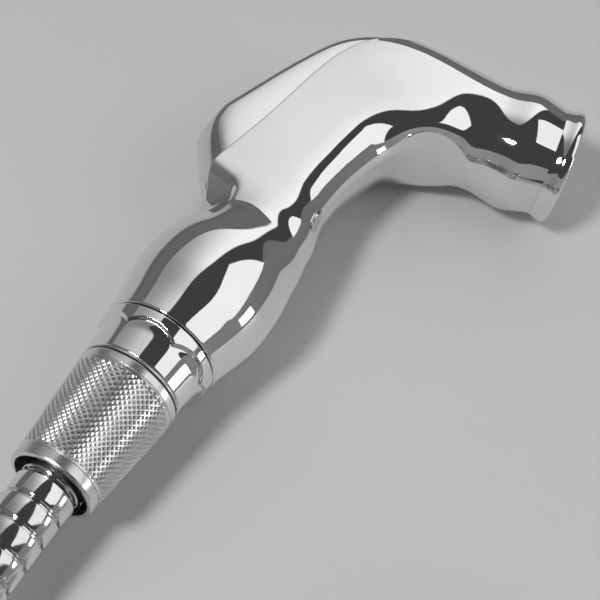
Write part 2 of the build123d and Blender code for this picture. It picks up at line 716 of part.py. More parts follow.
def hose_ferrule():
    """The hose's end fitting: a flange for the nut and a sleeve crimped on the hose."""
    return turned([
        (FLANGE_END, FERRULE_BORE_R),
        (WASHER_END, FERRULE_BORE_R),
        (WASHER_END, FLANGE_R),
        (FLANGE_END, FLANGE_R),
        (FLANGE_END, SLEEVE_R),
        (SLEEVE_END, SLEEVE_R),
        (SLEEVE_END, FERRULE_BORE_R),
    ])


# ---- hose ----
def route_radii(points):
    """The arc radius at each corner of a route: as large as its two runs allow."""
    radii = []
    for before, here, after in zip(points, points[1:], points[2:]):
        one = Vector(*here) - Vector(*before)
        two = Vector(*after) - Vector(*here)
        turn = radians(one.get_angle(two))
        radii.append(ROUTE_SHARE * min(one.length, two.length) / tan(turn / 2))
    return radii


def hose_tube(name, points):
    """A tube of the hose along straight runs joined by tangent arcs; prints its radii."""
    radii = route_radii(points)
    path = FilletPolyline(*points, radius=radii)
    start = Plane(origin=path @ 0, z_dir=path % 0)
    shape = sweep(start * Circle(HOSE_R), path=path)
    share = shape.volume / (pi * HOSE_R**2 * path.length)
    print(name, "radii", [round(r) for r in radii], "length", round(path.length, 1))
    print(name, "volume over section times length", round(share, 4))
    return shape, path.length


def main_route():
    """From the ferrule straight out, down to the surface and onto the coil."""
    return [(SLEEVE_END + x, 0, AXIS_Z if low else 0) for x, low in MAIN_RUN]


def coil_x():
    """Where the hose comes onto the coil, and leaves it half a turn further on."""
    return main_route()[-1][0]


def tail_route():
    """From the coil's upper half turn back along X and down to the far nut; the coil's width aside."""
    high = AXIS_Z + 2 * HOSE_R * FULL_TURNS
    return [(coil_x() + x, 0, FAR_AXIS_Z if low else high) for x, low in TAIL_RUN]


def coil_radius(run, tail):
    """The turns' radius that makes the whole hose, over its fittings, its real length."""
    fittings = (WASHER_END - SLEEVE_END) + FAR_SLEEVE_L + FAR_FLANGE_T
    return (HOSE_LENGTH - fittings - run - tail) / (pi * (2 * FULL_TURNS + 1))


def turns_height(turns):
    """The height of turns that lie on each other."""
    return 2 * HOSE_R * turns


def coil_part(radius, turns, start, angle):
    """The outer shape of turns on each other, over an angle about the coil's middle."""
    height = turns_height(turns)
    section = Pos(radius, height / 2) * RectangleRounded(2 * HOSE_R, height, COIL_CORNER)
    return Rot(0, 0, start) * revolve(Plane.XZ * section, Axis.Z, angle)


def hose_coil(radius, hose):
    """The full turns with the last half turn on them, less the hose that runs into them."""
    tall = coil_part(radius, FULL_TURNS + 1, 90 - LAST_CLIMB, 180 + LAST_CLIMB)
    low = coil_part(radius, FULL_TURNS, -90, 180 - LAST_CLIMB)
    return Pos(coil_x(), -radius, AXIS_Z - HOSE_R) * (low + tall) - hose


def hose_tie(radius):
    """The strap round all the turns, in the middle of the half turn."""
    height = turns_height(FULL_TURNS + 1)
    room = 2 * TIE_ROOM
    wall = 2 * TIE_T
    outer = RectangleRounded(2 * HOSE_R + room + wall, height + room + wall, COIL_CORNER + TIE_T)
    inner = RectangleRounded(2 * HOSE_R + room, height + room, COIL_CORNER)
    strap = extrude(Plane.XZ.offset(-TIE_W / 2) * (outer - inner), TIE_W)
    sag = radius - sqrt((radius - HOSE_R) ** 2 - (TIE_W / 2) ** 2) - HOSE_R
    return Pos(coil_x() - radius + sag / 2, -radius, AXIS_Z - HOSE_R + height / 2) * strap


def far_x():
    """The end of the tail, where the far ferrule begins."""
    return tail_route()[-1][0]


def far_end():
    """The length from the far ferrule's start to the far nut's mouth."""
    return FAR_SLEEVE_L - FAR_SHOULDER_T - FIT + FAR_NUT_L


def far_turned(profile):
    """A profile turned about the far end's axis; distances run away from the hose."""
    return turned(profile, (far_x(), 0, FAR_AXIS_Z), (1, 0, 0))


def far_ferrule():
    """The sleeve on the hose's far end, with the flange that the nut bears on."""
    end = FAR_SLEEVE_L + FAR_FLANGE_T
    return far_turned([
        (0, FERRULE_BORE_R),
        (0, FAR_SLEEVE_R),
        (FAR_SLEEVE_L, FAR_SLEEVE_R),
        (FAR_SLEEVE_L, FLANGE_R),
        (end, FLANGE_R),
        (end, FERRULE_BORE_R),
    ])


def far_washer():
    """The flat seal in the supply nut."""
    start = FAR_SLEEVE_L + FAR_FLANGE_T
    end = start + WASHER_T
    return far_turned([(start, WASHER_IN_R), (start, WASHER_OUT_R), (end, WASHER_OUT_R), (end, WASHER_IN_R)])


def far_nut():
    """The hexagon nut that screws on the supply's thread, with room for the flange and the seal."""
    start = FAR_SLEEVE_L - FAR_SHOULDER_T - FIT
    place = Plane(origin=(far_x() + start, 0, FAR_AXIS_Z), x_dir=(0, 1, 0), z_dir=(1, 0, 0))
    hexagon = RegularPolygon(FAR_NUT_FLATS / 2, 6, major_radius=False)
    nut = extrude(place * hexagon, FAR_NUT_L)
    thread_start = FAR_SLEEVE_L + FAR_FLANGE_T + WASHER_T + FIT
    bores = [(0, FAR_SLEEVE_R + GAP), (start + FAR_SHOULDER_T, FAR_ROOM_R), (thread_start, NUT_THREAD_R)]
    for begin, radius in bores:
        nut -= far_turned([(begin, 0), (begin, radius), (far_end(), radius), (far_end(), 0)])
    return nut


# ---- assembly ----
def build():
    """Every node by name, in the sprayer's own axes."""
    form = outer_form()
    hose, run = hose_tube("hose", main_route())
    tail, tail_run = hose_tube("hose_tail", tail_route())
    radius = coil_radius(run, tail_run)
    aside = Pos(0, -2 * radius, 0)
    tail = aside * tail
    print("coil radius", round(radius, 3), "full turns", FULL_TURNS)
    return {
        "body": body(form),
        "lever": lever(form),
        "lever_pivot_pin": lever_pivot_pin(),
        "valve_stem": valve_stem(),
        "valve_disc": valve_disc(),
        "valve_seat": valve_seat(),
        "stem_gland": stem_gland(),
        "stem_o_ring": stem_o_ring(),
        "return_spring": return_spring(),
        "nozzle_ring": nozzle_ring(),
        "spray_plate": spray_plate(),
        "nozzle_gasket": nozzle_gasket(),
        "flow_distributor": flow_distributor(),
        "inlet_nipple": inlet_nipple(),
        "control_ring": control_ring(),
        "ring_o_rings": ring_o_rings(),
        "ring_clip": ring_clip(),
        "drive_pin": drive_pin(),
        "throttle_rotor": throttle_rotor(),
        "throttle_stator": throttle_stator(),
        "throttle_spacer": throttle_spacer(),
        "hose_washer": hose_washer(),
        "filter_screen": filter_screen(),
        "hose_nut": hose_nut(),
        "hose_ferrule": hose_ferrule(),
        "hose": hose,
        "hose_coil": hose_coil(radius, hose),
        "hose_tie": hose_tie(radius),
        "hose_tail": tail,
        "far_ferrule": aside * far_ferrule(),
        "far_washer": aside * far_washer(),
        "far_nut": aside * far_nut(),
    }


CORD_NODES = {"hose", "hose_coil", "hose_tie", "hose_tail", "far_ferrule", "far_washer", "far_nut"}


def main():
    """Lays the sprayer on the surface, its box centred over the origin, and writes the nodes."""
    nodes = build()
    own = [solid for name, shape in nodes.items() if name not in CORD_NODES for solid in shape.solids()]
    box = Compound(own).bounding_box()
    lift = Pos(-(box.min.X + box.max.X) / 2, -(box.min.Y + box.max.Y) / 2, -box.min.Z)
    print("moved by", [round(v, 4) for v in lift.position])
    os.makedirs("parts", exist_ok=True)
    for name, shape in nodes.items():
        solids = [lift * solid for solid in shape.solids()]
        export_step(solids[0] if len(solids) == 1 else Compound(solids), f"parts/{name}.step")


main()
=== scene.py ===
"""Looks of a handheld bath sprayer: chrome grip, thumb lever, scalloped flow ring and metal hose.

Every shape is worked out in the sprayer's own axes, in millimetres: x along the inlet towards
the head, y towards the thumb lever, z up, with x = 0 at the grip's lower end and z = 0 in the
plane of symmetry. in_frame() takes the finished points to metres in the frame's axes.
"""

from math import cos, pi, radians, sin, tan

import bmesh
import bpy
import numpy as np
from mathutils import Matrix, Vector


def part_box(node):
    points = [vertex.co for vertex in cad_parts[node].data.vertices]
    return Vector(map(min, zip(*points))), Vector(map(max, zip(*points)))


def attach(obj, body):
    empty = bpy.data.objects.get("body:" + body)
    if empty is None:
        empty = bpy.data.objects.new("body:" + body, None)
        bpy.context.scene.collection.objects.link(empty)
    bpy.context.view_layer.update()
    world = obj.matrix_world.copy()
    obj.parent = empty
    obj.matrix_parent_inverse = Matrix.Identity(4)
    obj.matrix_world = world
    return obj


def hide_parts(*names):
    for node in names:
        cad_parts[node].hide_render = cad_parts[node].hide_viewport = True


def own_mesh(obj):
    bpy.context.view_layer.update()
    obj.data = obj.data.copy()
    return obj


bl_info = {
    "name": "Handheld bath sprayer",
    "version": (1, 0, 0),
    "blender": (4, 5, 0),
    "location": "3D View > Sidebar > Sprayer",
    "description": "Builds the visible surfaces and finishes of a handheld bath sprayer",
    "category": "Add Mesh",
}

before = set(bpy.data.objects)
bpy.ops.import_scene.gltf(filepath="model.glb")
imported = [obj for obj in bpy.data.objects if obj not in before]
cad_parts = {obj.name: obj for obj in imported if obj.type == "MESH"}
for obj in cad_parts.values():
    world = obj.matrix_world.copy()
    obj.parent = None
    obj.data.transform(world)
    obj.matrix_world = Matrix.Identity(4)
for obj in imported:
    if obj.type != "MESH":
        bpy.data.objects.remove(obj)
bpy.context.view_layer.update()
MM = 0.001
X_AXIS, Y_AXIS, Z_AXIS = np.eye(3)

# ---- grip: (x, y, half height, half width) of ellipses across X ----
BULB = np.array([
    (0.0, 0.0, 14.1, 14.1), (6.4, -0.4, 15.3, 14.9), (12.7, -0.6, 16.6, 15.9),
    (19.1, -0.7, 17.0, 16.2), (26.0, -1.0, 16.3, 15.5), (32.0, -1.6, 14.4, 13.6),
    (37.0, -2.3, 12.2, 11.4), (43.0, -3.5, 9.6, 8.8), (48.0, -4.5, 7.5, 7.0),
])

# ---- neck and arch: (inner x, y, outer x, y, centre above inner, half width, neckness) ----
NECK = [
    (0.0, -13.8, 0.0, 28.5, 12.3, 9.4, 1.0),
    (30.0, -13.8, 30.0, 28.5, 12.2, 9.4, 1.0),
    (36.2, -13.8, 35.8, 28.5, 12.1, 9.6, 1.0),
    (40.5, -13.8, 40.2, 28.2, 12.0, 10.8, 1.0),
    (47.0, -13.5, 47.0, 27.2, 12.0, 11.2, 1.0),
    (55.4, -13.2, 56.0, 25.6, 12.0, 11.2, 1.0),
    (64.3, -13.9, 68.0, 22.4, 12.0, 11.2, 1.0),
    (73.0, -15.6, 80.0, 18.9, 12.2, 11.5, 1.0),
    (80.0, -18.2, 91.0, 15.3, 13.0, 12.0, 0.85),
    (84.5, -22.0, 101.0, 10.8, 14.5, 12.8, 0.55),
    (86.8, -27.0, 109.5, 2.0, 15.5, 13.5, 0.25),
    (87.6, -31.5, 114.2, -10.0, 16.5, 14.0, 0.05),
    (87.9, -34.0, 115.7, -21.0, 15.4, 14.1, 0.0),
]
CHAMFER_ANGLE = radians(41)
CHAMFER_DIST = 12.8
FLANK_LEAN = radians(5)
NECK_POWER = 8.0        # the section's power is 2, an ellipse, and this much more on the neck

# ---- where grip and neck flow together, in x ----
GRIP_END = 52.0
JOIN_START, JOIN_FULL = 24.0, 36.0
JOIN_WIDTH = 3.2
GRIP_FADE = (51.0, 41.0)

# ---- head: (distance behind the nozzle's face, radius) about a leaning axis ----
FACE = np.array((106.4, -53.4))
HEAD_LEAN = radians(11.4)
HEAD_OUT = np.array((sin(HEAD_LEAN), -cos(HEAD_LEAN)))
HEAD_SIDE = np.array((cos(HEAD_LEAN), sin(HEAD_LEAN)))
FIRST_FAN = 4           # the first of NECK's rows after which the sections fan out
HEAD = [(20.0, 14.2), (16.3, 14.9), (12.5, 15.5), (8.8, 14.9), (5.0, 13.9)]
NOZZLE_ROOM = [(5.0, 12.4), (3.0, 12.4), (3.0, 11.2), (6.0, 11.2), (6.0, 10.2), (13.0, 10.2),
               (17.0, 0.0)]
INLET_ROOM = [(0.0, 10.42), (12.0, 10.42), (12.0, 9.5), (15.0, 11.6), (25.0, 11.6), (31.5, 5.0),
              (31.5, 0.0)]

# ---- the fairing and the lever's end: planes as (normal, a point on the plane) ----
RAMP_SLOPE = np.arctan2(11.3, 14.6)
RAMP = ((-sin(RAMP_SLOPE), cos(RAMP_SLOPE), 0.0), (40.9, 14.3, 0.0))
WALL = ((-0.96, 0.28, 0.0), (38.3, 12.4, 0.0))
FACET_TURN = radians(52)        # of the facets' normals, from the flank's towards the end's
UPPER_FACET_AT = (53.1, 18.3, 9.5)
LOWER_FACET_AT = (43.5, 11.5, 10.0)
PLANES_FADE = (70.0, 60.0)      # the x over which the planes come in
SIDE_FADE = (0.0, 0.2)          # the sine of the angle over which they come in
FACET_BEND = (1.0, 10.0, 3.0)   # low and high level, and reach, of the lower facet's bend
WALL_BEND = (0.0, 8.0, 5.0)
LEAST_ROOM = 0.3
SOFT_CORNER = 14.0              # powers that round the corners between planes
CRISP_CORNER = 34.0
SEAM = [(40.0, 13.4), (42.5, 15.0), (50.0, 15.0), (64.0, 12.7), (79.5, 10.9), (94.0, 7.9),
        (103.6, 2.0), (109.3, -6.3), (112.6, -10.6)]
SEAM_PAST = 2           # how far its line is drawn past its ends
SEAM_POINTS = 900
CHANNEL_START = 40.45
CHANNEL_HALF = 9.1
CHANNEL_FLOOR = 4.5
ARCH_RECESS = 4.9
RIM = 0.65              # the body's rim beside the lever's facets
RIM_R = 0.35
PIVOT = np.array((101.0, -2.0))
LEVER_START = 41.0
LEVER_HALF = 8.9
LEVER_INSET = 0.85      # the lever's facets, inside the body's
LEVER_WALL = 1.8
THINNEST_WALL = 0.5     # of the lever, where its faces meet
LEVER_END_GAP = 0.3
SKIRT_DEPTH = 3.2
VALVE_X = 72.0

# ---- hose route: control points before the coil and after it, and the coil's turns ----
HOSE_EXIT = (-30.0, 0.0, 0.0)
HOSE_START = [HOSE_EXIT, (-64.0, 0.0, 0.0), (-98.0, 0.0, -8.2), (-134.0, 0.0, -8.2)]
COIL_R = 70.7
COIL_TURNS = 2.5
TURN_POINTS = 16
TURN_CLIMB = (0.72, 0.92)       # the share of each turn over which it climbs to the next
HOSE_TAIL = [(-134.0, -141.6, 19.8), (-98.0, -141.6, 20.6), (-46.0, -141.6, -4.2),
             (-10.0, -141.6, -4.2)]
HOSE_R = 7.0

pin_low, pin_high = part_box("lever_pivot_pin")
ORIGIN = (np.array(pin_low) + np.array(pin_high)) / 2 - np.array((*PIVOT, 0.0)) * MM


# ---- numbers ----
def in_frame(points):
    """Points in the sprayer's axes and millimetres, as points in the frame, in metres."""
    return np.asarray(points, float) * MM + ORIGIN


def spline(knots, values, at):
    """The natural cubic spline through values at knots, taken at the given places.

    Its second derivatives solve one tridiagonal system; between two knots it is the straight
    line plus each end's second derivative times a cubic that is nought at both ends.
    """
    knots = np.asarray(knots, float)
    values = np.asarray(values, float).reshape(len(knots), -1)
    step = np.diff(knots)
    count = len(knots)
    system = np.eye(count)
    right = np.zeros(values.shape)
    inner = np.arange(1, count - 1)
    system[inner, inner - 1] = step[:-1]
    system[inner, inner] = 2 * (step[:-1] + step[1:])
    system[inner, inner + 1] = step[1:]
    slope = np.diff(values, axis=0) / step[:, None]
    right[1:-1] = 6 * np.diff(slope, axis=0)
    bend = np.linalg.solve(system, right)
    at = np.asarray(at, float)
    k = np.clip(np.searchsorted(knots, at) - 1, 0, count - 2)
    width = step[k][:, None]
    u = ((at - knots[k]) / step[k])[:, None]
    line = values[k] * (1 - u) + values[k + 1] * u
    cubic = ((1 - u) ** 3 - (1 - u)) * bend[k] + (u**3 - u) * bend[k + 1]
    return line + cubic * width**2 / 6


def smoothstep(low, high, at):
    """0 below low, 1 above high, and 3u^2 - 2u^3 between them."""
    u = np.clip((at - low) / (high - low), 0, 1)
    return u * u * (3 - 2 * u)


def stations(*stretches):
    """Places along a form, from (start, end, step) stretches, each place once."""
    parts = [np.linspace(start, end, max(2, int(round(abs(end - start) / step)) + 1))
             for start, end, step in stretches]
    return np.concatenate([parts[0], *[part[1:] for part in parts[1:]]])


def lengths_to(points):
    """The length of a row of points up to each of them."""
    steps = np.linalg.norm(np.diff(points, axis=0), axis=1)
    return np.concatenate([[0], np.cumsum(steps)])


def unit(vectors):
    """Vectors made one long."""
    return vectors / np.linalg.norm(vectors, axis=-1, keepdims=True)


def side_of(centre, way, points):
    """Which side of lines through centres points lie on: the sign changes on the line."""
    offset = points - centre
    return way[..., 0] * offset[..., 1] - way[..., 1] * offset[..., 0]


# ---- the outer form ----
def section_table():
    """The neck's and the head's sections as rows, and the station of each along the form."""
    rows = list(NECK)
    for s, r in HEAD:
        inner = FACE - HEAD_OUT * s - HEAD_SIDE * r
        outer = FACE - HEAD_OUT * s + HEAD_SIDE * r
        rows.append((*inner, *outer, r, r, 0.0))
    rows = np.array(rows)
    middle = rows[:, 0:2] + unit(rows[:, 2:4] - rows[:, 0:2]) * rows[:, 4:5]
    far = np.linalg.norm(np.diff(middle, axis=0), axis=1)
    along = rows[:, 0].copy()
    along[FIRST_FAN + 1:] = along[FIRST_FAN] + np.cumsum(far[FIRST_FAN:])
    return along, rows


ALONG, SECTIONS = section_table()
HEAD_STATION = ALONG[-1]


def sections_at(q):
    """Centre, direction, depth and height about it, half width and neckness at stations q."""
    row = spline(ALONG, SECTIONS, q)
    inner, outer = row[:, 0:2], row[:, 2:4]
    length = np.linalg.norm(outer - inner, axis=1)
    way = (outer - inner) / length[:, None]
    low, half, neck = row[:, 4:7].T
    return inner + way * low[:, None], way, low, length - low, half, np.clip(neck, 0, 1)


def facet(turn, side, at):
    """The plane through a point, its normal turned from the flank's, z, towards another's."""
    return cos(turn) * Z_AXIS + sin(turn) * unit(np.array(side)), np.array(at)


UPPER_FACET = facet(FACET_TURN, RAMP[0], UPPER_FACET_AT)
LOWER_FACET = facet(FACET_TURN, WALL[0], LOWER_FACET_AT)


def plane_term(plane, centre, way, angle, inset=0.0, away=0.0):
    """One over the radius at which rays from the centre meet a plane.

    The plane may move in by inset along z, and out by away along its normal, which can differ
    from ray to ray and so bends the plane outwards.
    """
    normal, point = np.array(plane[0]), np.array(plane[1])
    room = (normal @ point - inset * normal[2] - centre @ normal[:2])[:, None] + away
    toward = (way @ normal[:2])[:, None] * np.sin(angle) + normal[2] * np.abs(np.cos(angle))
    return np.maximum(toward, 0) / np.maximum(room, LEAST_ROOM)


def bent_away(level, low, high, reach):
    """How far a plane bends outwards: nothing above high, then further and further down to low."""
    return reach / np.maximum(smoothstep(low, high, level), 1e-3) - reach


def skin_radius(q, angle, lever=False):
    """The outer form's radius at stations q (rows) and angles from the horizontal.

    Each wall of the neck's section, and each plane of its lower end, gives one over the radius
    at which it is met; powers of these terms are added up, which rounds the corners between
    walls. The grip is an ellipse about its own centre. Grip and neck flow together by
    (a + b + root((a - b)^2 + k^2)) / 2. The lever's form is the neck's, cut to the lever's width.
    """
    centre, way, low, high, half, neck = sections_at(q)
    across, up = np.abs(np.cos(angle)), np.sin(angle)
    lean = (FLANK_LEAN * neck)[:, None]
    power = (2 + NECK_POWER * neck)[:, None]
    walls = [
        (across * np.cos(lean) + up * np.sin(lean)) / half[:, None],
        up / high[:, None],
        -up / low[:, None],
        neck[:, None] * (across * cos(CHAMFER_ANGLE) - up * sin(CHAMFER_ANGLE)) / CHAMFER_DIST,
    ]
    total = sum(np.maximum(wall, 0) ** power for wall in walls)
    rough = total ** (-1 / power)
    level = centre[:, 1:2] + way[:, 1:2] * rough * up
    near_end = smoothstep(*PLANES_FADE, centre[:, 0])[:, None] * smoothstep(*SIDE_FADE, up)

    def plane_power(plane, power, inset=0.0, away=0.0):
        return (near_end * plane_term(plane, centre, way, angle, inset, away)) ** power

    inset = LEVER_INSET if lever else 0.0
    term = total ** (SOFT_CORNER / power)
    if lever:
        term = term + plane_power(UPPER_FACET, SOFT_CORNER, inset)
        term = term + (across / LEVER_HALF) ** SOFT_CORNER
    term = term + plane_power(LOWER_FACET, SOFT_CORNER, inset, bent_away(level, *FACET_BEND))
    term = term ** (CRISP_CORNER / SOFT_CORNER)
    term = term + plane_power(RAMP, CRISP_CORNER)
    term = term + plane_power(WALL, CRISP_CORNER, away=bent_away(level, *WALL_BEND))
    radius = term ** (-1 / CRISP_CORNER)
    return radius if lever else with_grip(radius, centre, angle)


def with_grip(radius, centre, angle):
    """The neck's radius, flowed together with the grip's where the grip reaches."""
    x = centre[:, 0]
    y, high, wide = spline(BULB[:, 0], BULB[:, 1:], np.minimum(x, GRIP_END)).T[:, :, None]
    off = centre[:, 1:2] - y
    across, up = np.cos(angle) / wide, np.sin(angle) / high
    a = across**2 + up**2
    b = up * off / high
    c = (off / high) ** 2 - 1
    grip = (-b + np.sqrt(np.maximum(b * b - a * c, 0))) / a
    width = JOIN_WIDTH * smoothstep(JOIN_START, JOIN_FULL, x)[:, None] + 1e-3
    joined = (radius + grip + np.sqrt((radius - grip) ** 2 + width**2)) / 2
    joined = np.where(x[:, None] < JOIN_START, grip, joined)
    share = smoothstep(*GRIP_FADE, x)[:, None]
    return radius + share * (joined - radius)


def seam_height(q):
    """Where the sections' lines at stations q cross the seam, above the sections' centres.

    The seam is a spline through its points, drawn a little past its ends; on each section's
    line the side it lies on changes sign at the crossing, found between two neighbours of a
    fine row of points.
    """
    knots = np.array(SEAM)
    along = lengths_to(knots)
    fine = spline(along, knots, np.linspace(-SEAM_PAST, along[-1] + SEAM_PAST, SEAM_POINTS))
    centre, way = sections_at(q)[:2]
    side = side_of(centre[:, None], way[:, None], fine)
    height = ((fine - centre[:, None]) * way[:, None]).sum(-1)
    crossing = (side[:, :-1] >= 0) & (side[:, 1:] < 0)
    first = crossing.argmax(1)
    rows = np.arange(len(q))
    share = side[rows, first] / (side[rows, first] - side[rows, first + 1])
    return height[rows, first] * (1 - share) + height[rows, first + 1] * share


TRIES = np.linspace(radians(2), radians(89.9), 500)


def angle_at_height(q, height, lever=False):
    """The angle at which the outline reaches a height above the centre, on the side z > 0."""
    up = skin_radius(q, TRIES[None, :], lever) * np.sin(TRIES)
    up = np.maximum.accumulate(up, axis=1) + np.arange(TRIES.size) * 1e-9
    return np.array([np.interp(h, row, TRIES) for h, row in zip(height, up)])


def placed(centre, way, up, across):
    """Points at heights along each section's line and distances across it."""
    flat = centre[:, None] + way[:, None] * up[..., None]
    return np.concatenate([flat, across[..., None]], -1)


# ---- meshes ----
WELD = 2e-6             # in metres, the distance at which two grids' borders become one
MIRROR = np.array((1.0, 1.0, -1.0))


def add_object(name, data):
    """A new object in the scene, with its mesh, lamp or camera."""
    made = bpy.data.objects.new(name, data)
    bpy.context.scene.collection.objects.link(made)
    return made


def grid(points, around=False):
    """The points of a grid of rows, and its quads; around closes each row on itself."""
    rows, columns = points.shape[:2]
    row = np.arange(rows - 1)[:, None] * columns
    column = np.arange(columns if around else columns - 1)[None, :]
    after = (column + 1) % columns
    quads = np.stack([row + column, row + after, row + columns + after, row + columns + column], -1)
    return points.reshape(-1, 3), quads.reshape(-1, 4)


def make_piece(name, grids, finish, crease=40.0):
    """A closed mesh from grids whose shared borders are welded, its faces turned outwards.

    Edges bent by more than crease, in degrees, are shaded sharp.
    """
    points, quads, start = [], [], 0
    for some_points, some_quads in grids:
        points.append(some_points)
        quads.append(some_quads + start)
        start += len(some_points)
    mesh = bpy.data.meshes.new(name)
    mesh.from_pydata(in_frame(np.concatenate(points)).tolist(), [], np.concatenate(quads).tolist())
    work = bmesh.new()
    work.from_mesh(mesh)
    bmesh.ops.remove_doubles(work, verts=work.verts, dist=WELD)
    bmesh.ops.dissolve_degenerate(work, edges=work.edges, dist=WELD / 4)
    bmesh.ops.recalc_face_normals(work, faces=work.faces)
    work.to_mesh(mesh)
    work.free()
    mesh.shade_smooth()
    mesh.set_sharp_from_angle(angle=radians(crease))
    piece = add_object(name, mesh)
    dress(piece, finish)
    return piece


def around_circle(count):
    """Angles of evenly spaced points on a circle."""
    return np.arange(count) * 2 * pi / count


def about_x(x, radius, angle):
    """Points at distances along the inlet's axis, radii and angles from y."""
    across = radius * np.cos(angle), radius * np.sin(angle)
    return np.stack(np.broadcast_arrays(x, *across), -1)


def tube(middle, rows):
    """The rows of a tube along a line, closed by a point in the middle of each end."""
    ends = [middle[k] + 0 * rows[:1] for k in (0, -1)]
    return np.concatenate([ends[0], rows, ends[1]])


def turned(profile, centre, axis, side, count):
    """A (distance along, radius) profile turned about an axis through centre: rows by columns.

    The first column lies on the side given, square to the axis, and the others follow it.
    """
    angle = around_circle(count)[:, None]
    ring = np.cos(angle) * side + np.sin(angle) * np.cross(side, axis)
    profile = np.array(profile)
    return centre + profile[:, None, :1] * axis + profile[:, None, 1:] * ring[None]


def mirrored(half):
    """A half loop from the bottom up to the plane of symmetry, and its mirror image back down."""
    return both_sides(half)[:, :-1]


def both_sides(half):
    """A half loop that ends in the plane of symmetry, and the whole of its mirror image."""
    return np.concatenate([half, half[:, -2::-1] * MIRROR], 1)


# ---- body ----
SIDE_POINTS = 96
FLOOR_POINTS = 22
WALL_POINTS = 8
RIM_POINTS = 5
EDGE_R = 0.4            # of the edge round the inlet
ARCH_START = 84.0       # the x from which the channel is only as deep as ARCH_RECESS
TURN_FADE = (50.0, 60.0)        # the x over which the turned walls become straight ones
TOP_ANGLE = 1.0         # where a closed outline's side ends and its top starts
TOP_FADE = 8.0
FINE_START = 34.0
FOOT_END, RAMP_END = 44.0, 60.0     # stretches of x with stations closer together


def side_loop(q, top_angle):
    """The outline from the bottom up to the given angle, on the side z > 0."""
    share = np.linspace(0, 1, SIDE_POINTS)[None, :]
    angle = -pi / 2 + (top_angle[:, None] + pi / 2) * share
    return outline_points(q, angle)


def outline_points(q, angle):
    """Points of the outer form at stations q and angles, rounded at the inlet's edge."""
    centre, way = sections_at(q)[:2]
    edge = np.minimum(q, EDGE_R)[:, None]
    radius = skin_radius(q, angle) - (EDGE_R - np.sqrt(EDGE_R**2 - (EDGE_R - edge) ** 2))
    return placed(centre, way, radius * np.sin(angle), radius * np.cos(angle))


def turned_down(points, floor_y):
    """Points of the channel's rim, turned about the lever's pivot down to the floor, and there."""
    arm = points[..., :2] - PIVOT
    reach = np.linalg.norm(arm, axis=-1)
    first = np.arctan2(arm[..., 1], arm[..., 0])
    last = pi - np.arcsin(np.clip((floor_y - PIVOT[1]) / reach, -1, 1))
    share = np.linspace(0, 1, WALL_POINTS + 1)
    angle = first[..., None] + (last - first)[..., None] * share
    flat = PIVOT + reach[..., None, None] * np.stack([np.cos(angle), np.sin(angle)], -1)
    across = np.broadcast_to(points[..., None, 2:3], (*flat.shape[:-1], 1))
    return np.concatenate([flat, across], -1)


def rim_points(q):
    """The rim's rounded edge and inner edge at stations q, and the angle at which it starts."""
    height = seam_height(q) - RIM_R
    angle = angle_at_height(q, height)
    centre, way = sections_at(q)[:2]
    across = outline_points(q, angle[:, None])[:, :, 2]
    turn = np.linspace(0, pi / 2, RIM_POINTS + 1)[None, 1:]
    rounded = across - RIM_R * (1 - np.cos(turn))
    corner = placed(centre, way, height[:, None] + RIM_R * np.sin(turn), rounded)
    inner = placed(centre, way, height[:, None] + RIM_R, np.minimum(CHANNEL_HALF, across - RIM))
    return corner, inner, angle


def channel_walls(q, inner):
    """The channel's wall below each rim point.

    Near the lever's lower end it is turned about the pivot, as the lever's end moves; further
    on it is straight.
    """
    centre, way = sections_at(q)[:2]
    by_turn = turned_down(inner[:, 0], CHANNEL_FLOOR)
    depth = np.where(centre[:, 0] < ARCH_START, inner[:, 0, 1] - CHANNEL_FLOOR, ARCH_RECESS)
    share = np.linspace(0, 1, WALL_POINTS + 1)[None, :]
    straight = np.repeat(inner[:, :1], WALL_POINTS + 1, axis=1)
    straight[..., :2] -= way[:, None] * (depth[:, None] * share)[..., None]
    mix = smoothstep(*TURN_FADE, inner[:, 0, 0])[:, None, None]
    return by_turn * (1 - mix) + straight * mix


def across_to_middle(points):
    """Rows from each point straight to the plane of symmetry."""
    rows = np.repeat(points[:, None], FLOOR_POINTS + 1, axis=1)
    rows[..., 2] *= np.linspace(1, 0, FLOOR_POINTS + 1)
    return rows


def closed_rows(q, top_angle):
    """Whole outlines at stations q: the side, then over the top to the plane of symmetry."""
    side = side_loop(q, top_angle)
    share = np.linspace(0, 1, FLOOR_POINTS + 2 + RIM_POINTS)[None, 1:]
    angle = top_angle[:, None] + (pi / 2 - top_angle[:, None]) * share
    return mirrored(np.concatenate([side, outline_points(q, angle)], 1))


def rim_row(q, corner, inner, angle):
    """The closed outline at the channel's end, whose top runs along the rim's inner edge."""
    return mirrored(np.concatenate([side_loop(q, angle), corner, across_to_middle(inner[:, 0])], 1))


def end_wall(inner, wall):
    """The channel's end, from the rim's inner edge down the wall's points to the floor."""
    line = both_sides(across_to_middle(inner))[0]
    rows = np.repeat(line[None], len(wall), axis=0)
    rows[..., :2] = wall[:, None, :2]
    return rows


SEAM_ENDS_IN = [9, 12]  # the rows of NECK between which the seam ends


def strip_end_station():
    """The station whose section meets the seam's end."""
    q = np.linspace(*ALONG[SEAM_ENDS_IN], 400)
    centre, way = sections_at(q)[:2]
    side = side_of(centre, way, np.array(SEAM[-1]))
    return float(np.interp(0, -side if side[0] > side[-1] else side, q))


